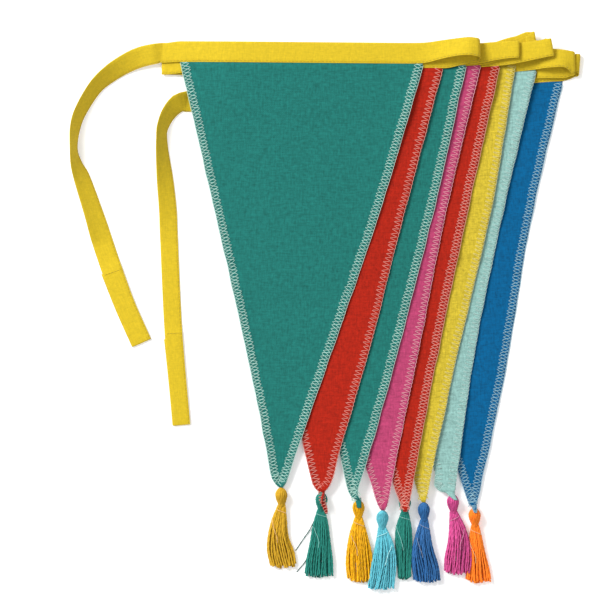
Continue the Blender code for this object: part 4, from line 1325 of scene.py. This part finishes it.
def skirt_paths(pennant, tassel, settings):
    """Return the skirt's yarns as lines of points in metres, from inside the neck to their ragged ends."""
    start, way, side, end = tassel_axes(pennant, tassel)
    rng = random.Random(200 + tassel.number)
    neck = start + way * (HEAD_LENGTH - 0.8)
    sides = skirt_sides(tassel, neck, side)
    radius = settings.yarn_thickness / MM / 2
    count = settings.yarn_count
    paths = []
    for n in range(count):
        row = n % SKIRT_ROWS
        place = ((n // SKIRT_ROWS) + 0.5 + (row - 1) / SKIRT_ROWS) / (count / SKIRT_ROWS)
        place = min(0.985, max(0.015, place + rng.uniform(-PLACE_JITTER, PLACE_JITTER)))
        centre = 2 * place - 1
        reach = 1.0 - rng.uniform(0.0, RAGGED) - RAGGED_SIDES * centre ** 2
        sway_size, sway_turn = rng.uniform(*SWAYS), rng.uniform(0, 2 * math.pi)
        sway_speed = rng.uniform(*SWAY_SPEEDS)
        hook = rng.uniform(*HOOKS) * (1 if centre > 0 else -1)
        proud = rng.uniform(*PROUDS)
        path = []
        for step in range(SKIRT_STEPS + 1):
            t = step / SKIRT_STEPS * reach
            left, right = sides(t)
            margin = radius * min(1.0, 3 * t)
            across = left + margin + (right - left - 2 * margin) * place
            sway = sway_size * math.sin(sway_speed * math.pi * t + sway_turn)
            sway += DRIFT * wave(place, t, tassel.number + 5, DRIFT_SIZE)
            across += sway * min(1.0, 2 * t) * (1 - centre ** 4)
            across += hook * max(0.0, step / SKIRT_STEPS - HOOK_START) / 0.12 * 0.6
            down = neck[1] + (end[1] - neck[1]) * t
            height = skirt_height(tassel, place, t, row, radius) + proud * min(1.0, 4 * t) * (1 - 0.5 * t)
            path.append((across * MM, down * MM, max(height, radius) * MM))
        paths.append(path)
    return paths


TIE_TAIL = ((0.0, 0.0), (0.2, 0.14), (0.5, 0.33), (0.75, 0.43), (1.0, 0.45))
TIE_TAIL_LENGTH = 17.0
TIE_DROP = 7.0          # how far under its first turn the thread comes out again
TIE_OVER = 0.6          # how far over the skirt's yarns its middle lies
TIE_ROUND = 0.53        # how far to each side it goes round, as a share of the skirt's width
TIE_SQUARE = 0.4        # how much its turn follows the skirt's flat top, from 1 for a round turn down to 0
TIE_DEPTH = 4.0         # how far under the neck's height it goes behind the skirt
TIE_FLOOR = 0.35        # the lowest that it lies
TURN_POINTS, TAIL_POINTS = 40, 24
STRAYS = {
    2: (((-7.2, -144.6, 2.6), (-9.1, -147.7, 1.6), (-11.5, -152.6, 0.7), (-15.4, -158.2, 0.5),
         (-21.3, -167.0, 0.4)),
        ((-9.8, -164.6, 1.8), (-11.5, -167.5, 0.8), (-14.5, -174.5, 0.5), (-20.5, -182.0, 0.4))),
}


def neck_tie_path(pennant, tassel, radius):
    """Return the thin thread that goes once round a skirt's shoulder and hangs down the skirt, in metres."""
    start, way, side, end = tassel_axes(pennant, tassel)
    neck = start + way * HEAD_LENGTH
    sides = skirt_sides(tassel, neck, side)
    length = neck[1] - end[1]
    slant = abs(tassel.slant)
    path = []

    def top_height(share, under):
        place = min(1.0, max(0.0, share))
        return skirt_height(tassel, place, under / length, 2, radius) + radius + TIE_OVER

    def add(share, under, height):
        left, right = sides(under / length)
        across = left + (right - left) * share
        path.append((across * MM, (neck[1] - under) * MM, max(height, TIE_FLOOR) * MM))

    for step in range(TURN_POINTS + 1):
        t = step / TURN_POINTS
        under = SHOULDER + slant * min(1.0, 2 * t) + (TIE_DROP - slant) * max(0.0, 2 * t - 1)
        share = 0.5 - TIE_ROUND * math.cos(2 * math.pi * t) * (1 if tassel.slant > 0 else -1)
        high = math.sin(2 * math.pi * t)
        high = math.copysign(abs(high) ** TIE_SQUARE, high)
        rise = top_height(0.5, under) - NECK_HEIGHT if high > 0 else TIE_DEPTH
        add(share, under, NECK_HEIGHT + high * rise)
    for step in range(1, TAIL_POINTS + 1):
        t = step / TAIL_POINTS
        under = SHOULDER + TIE_DROP + TIE_TAIL_LENGTH * t
        share = float(np.interp(t, *np.transpose(TIE_TAIL))) + 0.02 * math.sin(9 * t + tassel.number) * t
        share = share if tassel.slant > 0 else 1 - share
        blend = min(1.0, t * 4)
        add(share, under, NECK_HEIGHT * (1 - blend) + top_height(share, under) * blend)
    return path


TWIST_SPREAD = 9.0      # how much the yarns' twists are out of step
YARN_SHADES = (-0.30, 0.24)     # how much darker or brighter one yarn may be
PLY_RADIUS = 0.39       # a ply's radius, as a share of the yarn's thickness
PLY_OFFSET = 0.11       # and how far its middle is from the yarn's


def yarn_tree():
    """Build the tree that turns lines into two-ply yarn, each ply twisted round the other."""
    tree, source, result = new_tree("plied_yarn", {
        "Strands": "Object", "Yarn thickness": "Float", "Twist length": "Float", "Sides": "Int",
        "Step": "Float", "Material": "Material"})
    strands = add_node(tree, "GeometryNodeObjectInfo", {"Object": source.outputs["Strands"]})
    shade_of = add_node(tree, "FunctionNodeRandomValue", {"Seed": 11}, data_type="FLOAT")
    shade_of.inputs["Min"].default_value, shade_of.inputs["Max"].default_value = YARN_SHADES
    tinted = add_node(tree, "GeometryNodeStoreNamedAttribute", {
        "Geometry": strands.outputs["Geometry"], "Name": "shade", "Value": shade_of.outputs["Value"]},
        data_type="FLOAT", domain="CURVE")
    even = add_node(tree, "GeometryNodeResampleCurve", {
        "Curve": tinted.outputs["Geometry"], "Length": source.outputs["Step"]}, mode="LENGTH")
    place = add_node(tree, "GeometryNodeSplineParameter")
    turns = add_node(tree, "ShaderNodeMath", {0: place.outputs["Length"], 1: source.outputs["Twist length"]},
                     operation="DIVIDE")
    own = add_node(tree, "GeometryNodeInputNamedAttribute", {"Name": "shade"}, data_type="FLOAT")
    apart = add_node(tree, "ShaderNodeMath", {
        0: own.outputs["Attribute"], 1: TWIST_SPREAD, 2: turns.outputs[0]}, operation="MULTIPLY_ADD")
    angle = add_node(tree, "ShaderNodeMath", {0: apart.outputs[0], 1: 2 * math.pi}, operation="MULTIPLY")
    twisted = add_node(tree, "GeometryNodeSetCurveTilt", {
        "Curve": even.outputs["Curve"], "Tilt": angle.outputs[0]})
    ply = add_node(tree, "ShaderNodeMath", {0: source.outputs["Yarn thickness"], 1: PLY_RADIUS},
                   operation="MULTIPLY")
    away = add_node(tree, "ShaderNodeMath", {0: source.outputs["Yarn thickness"], 1: PLY_OFFSET},
                    operation="MULTIPLY")
    back = add_node(tree, "ShaderNodeMath", {0: away.outputs[0], 1: -1.0}, operation="MULTIPLY")
    circle = add_node(tree, "GeometryNodeCurvePrimitiveCircle", {
        "Resolution": source.outputs["Sides"], "Radius": ply.outputs[0]})
    plies = add_node(tree, "GeometryNodeJoinGeometry")
    for offset in (away, back):
        shift = add_node(tree, "ShaderNodeCombineXYZ", {"X": offset.outputs[0]})
        moved = add_node(tree, "GeometryNodeTransform", {
            "Geometry": circle.outputs["Curve"], "Translation": shift.outputs["Vector"]})
        tree.links.new(moved.outputs["Geometry"], plies.inputs["Geometry"])
    yarn = add_node(tree, "GeometryNodeCurveToMesh", {
        "Curve": twisted.outputs["Curve"], "Profile Curve": plies.outputs["Geometry"], "Fill Caps": True})
    finish_tree(tree, source, result, yarn.outputs["Mesh"])
    return tree


# Finishes.

def new_material(name):
    """Make a material and return it with its node tree and its Principled BSDF."""
    material = bpy.data.materials.new(name)
    material.use_nodes = True
    tree = material.node_tree
    return material, tree, tree.nodes["Principled BSDF"]


def group_sockets(tree, inputs, outputs):
    """Give a shader node group its named inputs, with their defaults, and its outputs."""
    for name, kind, value in inputs:
        socket = tree.interface.new_socket(name=name, in_out="INPUT", socket_type=kind)
        socket.default_value = value
    for name, kind in outputs:
        tree.interface.new_socket(name=name, in_out="OUTPUT", socket_type=kind)
    return tree.nodes.new("NodeGroupInput"), tree.nodes.new("NodeGroupOutput")


def math_node(tree, operation, a, b=0.0):
    """Add a math node on two values or sockets and return its result."""
    return add_node(tree, "ShaderNodeMath", {0: a, 1: b}, operation=operation).outputs[0]


def plain_weave_group():
    """Build the plain weave: a height of crossing threads and a colour that varies from thread to thread."""
    tree = bpy.data.node_groups.new("plain_weave", "ShaderNodeTree")
    source, result = group_sockets(tree, (
        ("Vector", "NodeSocketVector", (0, 0, 0)), ("Threads per metre", "NodeSocketFloat", 1500.0),
        ("Colour", "NodeSocketColor", (0.8, 0.8, 0.8, 1)), ("Mottle", "NodeSocketFloat", 0.12)),
        (("Height", "NodeSocketFloat"), ("Colour", "NodeSocketColor"), ("Roughness", "NodeSocketFloat")))
    link = tree.links.new
    scaled = add_node(tree, "ShaderNodeVectorMath", {
        0: source.outputs["Vector"]}, operation="SCALE")
    link(source.outputs["Threads per metre"], scaled.inputs["Scale"])
    parts = add_node(tree, "ShaderNodeSeparateXYZ", {0: scaled.outputs["Vector"]})
    ridges = []
    cells = []
    for axis in ("X", "Y"):
        turned = math_node(tree, "MULTIPLY", parts.outputs[axis], math.pi)
        ridges.append(math_node(tree, "ABSOLUTE", math_node(tree, "SINE", turned)))
        cells.append(math_node(tree, "FLOOR", parts.outputs[axis]))
    checker = math_node(tree, "FLOORED_MODULO", math_node(tree, "ADD", cells[0], cells[1]), 2.0)
    over = add_node(tree, "ShaderNodeMix", {"Factor": checker, "A": ridges[0], "B": ridges[1]})
    link(over.outputs["Result"], result.inputs["Height"])
    shades = []
    for stretch in ((0.62, 0.10, 1.0), (0.10, 0.62, 1.0)):
        run = add_node(tree, "ShaderNodeVectorMath", {0: scaled.outputs["Vector"], 1: stretch},
                       operation="MULTIPLY")
        slub = add_node(tree, "ShaderNodeTexNoise", {
            "Vector": run.outputs["Vector"], "Scale": 1.0, "Detail": 3.0, "Roughness": 0.7})
        shades.append(slub.outputs["Fac"])
    threads = math_node(tree, "MULTIPLY", math_node(tree, "ADD", shades[0], shades[1]), 0.5)
    cloud = add_node(tree, "ShaderNodeTexNoise", {
        "Vector": source.outputs["Vector"], "Scale": 420.0, "Detail": 3.0, "Roughness": 0.70})
    mixed = math_node(tree, "ADD", math_node(tree, "MULTIPLY", threads, 0.7),
                      math_node(tree, "MULTIPLY", cloud.outputs["Fac"], 0.3))
    centred = math_node(tree, "SUBTRACT", mixed, 0.5)
    swing = math_node(tree, "MULTIPLY", centred, source.outputs["Mottle"])
    bright = math_node(tree, "ADD", math_node(tree, "MULTIPLY", swing, 5.0), 1.0)
    shade = add_node(tree, "ShaderNodeHueSaturation", {
        "Color": source.outputs["Colour"], "Value": bright, "Saturation": 1.0, "Fac": 1.0})
    link(shade.outputs["Color"], result.inputs["Colour"])
    rough = math_node(tree, "ADD", math_node(tree, "MULTIPLY", centred, 0.3), 0.86)
    link(rough, result.inputs["Roughness"])
    return tree


def fibre_group():
    """Build the look of spun fibre: streaks along the thread, a fuzzy height and a small colour swing."""
    tree = bpy.data.node_groups.new("spun_fibre", "ShaderNodeTree")
    source, result = group_sockets(tree, (
        ("Vector", "NodeSocketVector", (0, 0, 0)), ("Size", "NodeSocketFloat", 1800.0),
        ("Colour", "NodeSocketColor", (0.8, 0.8, 0.8, 1)), ("Swing", "NodeSocketFloat", 0.25),
        ("Shade", "NodeSocketFloat", 0.0)),
        (("Height", "NodeSocketFloat"), ("Colour", "NodeSocketColor"), ("Roughness", "NodeSocketFloat")))
    link = tree.links.new
    fuzz = add_node(tree, "ShaderNodeTexNoise", {
        "Vector": source.outputs["Vector"], "Scale": source.outputs["Size"], "Detail": 2.0})
    cloud = add_node(tree, "ShaderNodeTexNoise", {"Vector": source.outputs["Vector"], "Scale": 420.0,
                                                  "Detail": 2.0})
    link(fuzz.outputs["Fac"], result.inputs["Height"])
    centred = math_node(tree, "SUBTRACT", cloud.outputs["Fac"], 0.5)
    swing = math_node(tree, "MULTIPLY", centred, source.outputs["Swing"])
    bright = math_node(tree, "ADD", math_node(tree, "MULTIPLY", swing, 3.0),
                       math_node(tree, "ADD", source.outputs["Shade"], 1.0))
    shade = add_node(tree, "ShaderNodeHueSaturation", {
        "Color": source.outputs["Colour"], "Value": bright, "Saturation": 1.0, "Fac": 1.0})
    link(shade.outputs["Color"], result.inputs["Colour"])
    rough = math_node(tree, "ADD", math_node(tree, "MULTIPLY", fuzz.outputs["Fac"], 0.3), 0.45)
    link(rough, result.inputs["Roughness"])
    return tree


def lead_in(tree, finish, group, strength, distance, values):
    """Lead a group's colour, roughness and height to a finish, and set the finish's other values."""
    raised = add_node(tree, "ShaderNodeBump", {
        "Height": group.outputs["Height"], "Strength": strength, "Distance": distance})
    tree.links.new(group.outputs["Colour"], finish.inputs["Base Color"])
    tree.links.new(group.outputs["Roughness"], finish.inputs["Roughness"])
    tree.links.new(raised.outputs["Normal"], finish.inputs["Normal"])
    for name, value in values.items():
        finish.inputs[name].default_value = value


def cotton(name, colour, threads, mottle, bump):
    """Make a woven cotton in a colour, with some threads to the metre."""
    material, tree, finish = new_material(name)
    coordinates = add_node(tree, "ShaderNodeUVMap", uv_map="cloth")
    weave = add_node(tree, "ShaderNodeGroup", {
        "Vector": coordinates.outputs["UV"], "Threads per metre": threads, "Colour": (*colour, 1.0),
        "Mottle": mottle}, node_tree=bpy.data.node_groups["plain_weave"])
    lead_in(tree, finish, weave, bump, 0.0002, {
        "Sheen Weight": 0.03, "Sheen Roughness": 0.5, "Specular IOR Level": 0.12})
    return material


def yarn(name, colour, swing=0.25, sheen=0.03):
    """Make a spun thread or yarn in a colour."""
    material, tree, finish = new_material(name)
    coordinates = add_node(tree, "ShaderNodeTexCoord")
    strand = add_node(tree, "ShaderNodeAttribute", attribute_name="shade")
    fibre = add_node(tree, "ShaderNodeGroup", {
        "Vector": coordinates.outputs["Object"], "Colour": (*colour, 1.0), "Swing": swing,
        "Shade": strand.outputs["Fac"]}, node_tree=bpy.data.node_groups["spun_fibre"])
    lead_in(tree, finish, fibre, 0.35, 0.0001, {
        "Specular IOR Level": 0.3, "Sheen Weight": sheen, "Sheen Roughness": 0.4})
    return material


def material_named(name, maker, *values):
    """Return a material that is already made, or make it."""
    return bpy.data.materials.get(name) or maker(name, *values)


def shared_tree(name, maker):
    """Return a node tree that is already built, or build it."""
    return bpy.data.node_groups.get(name) or maker()


# The operators, one for each kind of piece and one for the stage.

COTTON_LOOK = (1500.0, 0.52, 0.5)       # threads to the metre, mottle and bump
TAPE_LOOK = (1700.0, 0.22, 0.5)
OVERLOCK_LOOK = (0.2, 0.2)              # swing of the colour, and sheen
TAPE_THREAD_LOOK = (0.2, 0.1)
TIE_LOOK = (0.1, 0.2)
TAPE_THREAD = 0.00036
TUCKED_HEIGHT = 3.0     # height of the start of a tassel's head that is tucked under the tip


class BUNTING_OT_pennants(bpy.types.Operator):
    """Make the eight pennants' cotton and the overlock along their edges"""
    bl_idname = "bunting.pennants"
    bl_label = "Make pennants"

    def execute(self, context):
        settings = context.scene.bunting
        shared_tree("plain_weave", plain_weave_group)
        shared_tree("spun_fibre", fibre_group)
        tree = shared_tree("sewing_thread", thread_tree)
        for pennant in PENNANTS:
            cloth = PennantCloth(pennant, settings)
            piece = cloth.make(settings)
            colour = tuple(getattr(settings, pennant.cotton))
            material = material_named(f"{pennant.cotton}_cloth", cotton, colour, *COTTON_LOOK)
            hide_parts(pennant.node)
            finish_piece(piece, material)
            thread = material_named(pennant.thread, yarn, THREADS[pennant.thread], *OVERLOCK_LOOK)
            sewing = sew(f"overlock_{pennant.number}", tree, overlock_paths(cloth, settings),
                         {"Thread": settings.thread_thickness, "Sides": 4, "Material": thread})
            finish_piece(sewing)
            if pennant.number in POINTS:
                point, middle = make_point(pennant, settings)
                finish_piece(point, material)
                if pennant.number in WRAPPED_POINTS:
                    wrap = sew(f"point_thread_{pennant.number}", tree, point_wraps(pennant, middle),
                               {"Thread": settings.thread_thickness, "Sides": 4, "Material": thread})
                    finish_piece(wrap)
        return {"FINISHED"}


class BUNTING_OT_tape(bpy.types.Operator):
    """Make the tape with its two ties, and the stitches along it"""
    bl_idname = "bunting.tape"
    bl_label = "Make tape"

    def execute(self, context):
        settings = context.scene.bunting
        shared_tree("plain_weave", plain_weave_group)
        shared_tree("spun_fibre", fibre_group)
        tree = shared_tree("sewn_stitches", stitch_tree)
        path = tape_path()
        piece, length = make_tape(path)
        material = material_named("tape_cloth", cotton, tuple(settings.tape), *TAPE_LOOK)
        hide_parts("tape_with_ties")
        finish_piece(piece, material)
        # The tape's thread takes the tape's own yellow, darkened to 0.62 of it as painted shade of the
        # stitches sunk into the tape.
        painted_shade_thread_colour = tuple(0.62 * value for value in settings.tape)
        thread = material_named("tape_thread_painted_shade", yarn, painted_shade_thread_colour, *TAPE_THREAD_LOOK)
        stitch = path_object("running_path", running_stitch())
        host = stitch_points("tape_stitch_points", tape_stitch_frames(path, settings))
        sewing = run_tree("tape_stitches", host, tree, {
            "Stitch path": stitch, "Stitch length": settings.tape_stitch, "Thread": TAPE_THREAD,
            "Sides": 4, "Material": thread})
        bpy.data.objects.remove(stitch, do_unlink=True)
        finish_piece(sewing)
        return {"FINISHED"}


class BUNTING_OT_tassels(bpy.types.Operator):
    """Make the eight tassels: head, skirt of plied yarns and the thread that ties the neck"""
    bl_idname = "bunting.tassels"
    bl_label = "Make tassels"

    def execute(self, context):
        settings = context.scene.bunting
        shared_tree("spun_fibre", fibre_group)
        tree = shared_tree("plied_yarn", yarn_tree)
        for pennant, tassel in zip(PENNANTS, TASSELS):
            sheet = SheetHeights(pennant.node)
            tip_height = sheet.middle(pennant.tip_x, pennant.tip_y + 0.5)
            start_height = TUCKED_HEIGHT if tassel.tuck else tip_height
            colour = YARNS[tassel.yarn]
            material = material_named(f"{tassel.yarn}_yarn", yarn, colour)
            head = TasselHead(pennant, tassel, start_height)
            core = head.core(tassel.number)
            finish_piece(core, material)
            twist = {"Yarn thickness": settings.yarn_thickness, "Twist length": settings.yarn_twist,
                     "Sides": 5, "Step": 0.0011, "Material": material}
            skirt = sew(f"tassel_skirt_{tassel.number}", tree, skirt_paths(pennant, tassel, settings), twist,
                        "Strands")
            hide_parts(f"tassel_{tassel.number}")
            finish_piece(skirt)
            radius = settings.yarn_thickness / MM / 2
            wound = sew(f"tassel_bulb_{tassel.number}", tree, head.yarns(radius), twist, "Strands")
            finish_piece(wound)
            pale = tuple(0.22 + 0.72 * value for value in colour)
            thread = material_named(f"{tassel.yarn}_tie", yarn, pale, *TIE_LOOK)
            tie = sew(f"tassel_tie_{tassel.number}", tree, [neck_tie_path(pennant, tassel, radius)],
                      {**twist, "Yarn thickness": TIE_THREAD, "Step": 0.0007, "Material": thread}, "Strands")
            finish_piece(tie)
            if tassel.number in STRAYS:
                loose = [[tuple(MM * value for value in place) for place in smooth_curve(line, 8)]
                         for line in STRAYS[tassel.number]]
                dark = material_named("stray_yarn", yarn, (0.07, 0.14, 0.12))
                stray = sew(f"tassel_stray_{tassel.number}", tree, loose,
                            {**twist, "Yarn thickness": STRAY_THREAD, "Material": dark}, "Strands")
                finish_piece(stray)
        return {"FINISHED"}


PHOTO_MIDDLE = (-18.2, 8.4)   # the place under the middle of the picture, in millimetres
PHOTO_SIDE = 420.0            # how much of the surface the picture's side shows
CAMERA_HEIGHT = 4.5
SENSOR = 36.0


class BUNTING_OT_stage(bpy.types.Operator):
    """Set the pale floor, the soft studio light and the camera straight above"""
    bl_idname = "bunting.stage"
    bl_label = "Set the stage"

    def execute(self, context):
        self.make_floor()
        self.make_light("key", (-1.65, 1.4, 1.75), 1.1, 96.0)
        self.make_light("fill", (1.2, -0.9, 1.9), 2.0, 11.7)
        world = bpy.data.worlds.new("studio")
        world.use_nodes = True
        world.node_tree.nodes["Background"].inputs["Color"].default_value = (1.0, 1.0, 1.0, 1.0)
        world.node_tree.nodes["Background"].inputs["Strength"].default_value = 0.52
        context.scene.world = world
        context.scene.view_settings.view_transform = "Standard"
        self.make_camera(context)
        return {"FINISHED"}

    @staticmethod
    def make_floor():
        """Make a wide pale floor under the bunting."""
        side = 3000.0
        floor = new_object("floor", [(-side, -side, 0), (side, -side, 0), (side, side, 0), (-side, side, 0)],
                           [(0, 1, 2, 3)], smooth=False)
        material, _, finish = new_material("floor_paint")
        finish.inputs["Base Color"].default_value = (0.93, 0.93, 0.93, 1.0)
        finish.inputs["Roughness"].default_value = 0.9
        finish.inputs["Specular IOR Level"].default_value = 0.1
        finish.inputs["Emission Color"].default_value = (1.0, 1.0, 1.0, 1.0)
        finish.inputs["Emission Strength"].default_value = 0.22
        floor.data.materials.append(material)

    @staticmethod
    def make_light(name, place, size, power):
        """Hang a square soft light that faces the bunting."""
        light = bpy.data.lights.new(name, "AREA")
        light.size = size
        light.energy = power
        item = bpy.data.objects.new(name, light)
        item.location = place
        item.rotation_euler = (Vector((0, 0, 0)) - Vector(place)).to_track_quat("-Z", "Y").to_euler()
        bpy.context.scene.collection.objects.link(item)

    @staticmethod
    def make_camera(context):
        """Look straight down, with the photograph's framing."""
        camera = bpy.data.cameras.new("above")
        camera.sensor_width = SENSOR
        camera.lens = SENSOR * CAMERA_HEIGHT / (PHOTO_SIDE * MM)
        item = bpy.data.objects.new("above", camera)
        item.location = (PHOTO_MIDDLE[0] * MM, PHOTO_MIDDLE[1] * MM, CAMERA_HEIGHT)
        context.scene.collection.objects.link(item)
        context.scene.camera = item


class BUNTING_PT_panel(bpy.types.Panel):
    """Lists the steps that dress the bunting"""
    bl_label = "Bunting"
    bl_idname = "BUNTING_PT_panel"
    bl_space_type = "VIEW_3D"
    bl_region_type = "UI"
    bl_category = "Bunting"

    def draw(self, context):
        for step in STEPS:
            self.layout.operator(step.bl_idname)
        for name in BuntingSettings.__annotations__:
            self.layout.prop(context.scene.bunting, name)


STEPS = (BUNTING_OT_stage, BUNTING_OT_pennants, BUNTING_OT_tape, BUNTING_OT_tassels)
CLASSES = (BuntingSettings, *STEPS, BUNTING_PT_panel)


def register():
    """Register the settings, the operators and the panel."""
    for item in CLASSES:
        bpy.utils.register_class(item)
    bpy.types.Scene.bunting = PointerProperty(type=BuntingSettings)


def unregister():
    """Remove what register added."""
    del bpy.types.Scene.bunting
    for item in reversed(CLASSES):
        bpy.utils.unregister_class(item)


def main():
    """Dress the bunting."""
    register()
    bpy.ops.bunting.stage()
    bpy.ops.bunting.pennants()
    bpy.ops.bunting.tape()
    bpy.ops.bunting.tassels()


if __name__ == "__main__":
    main()
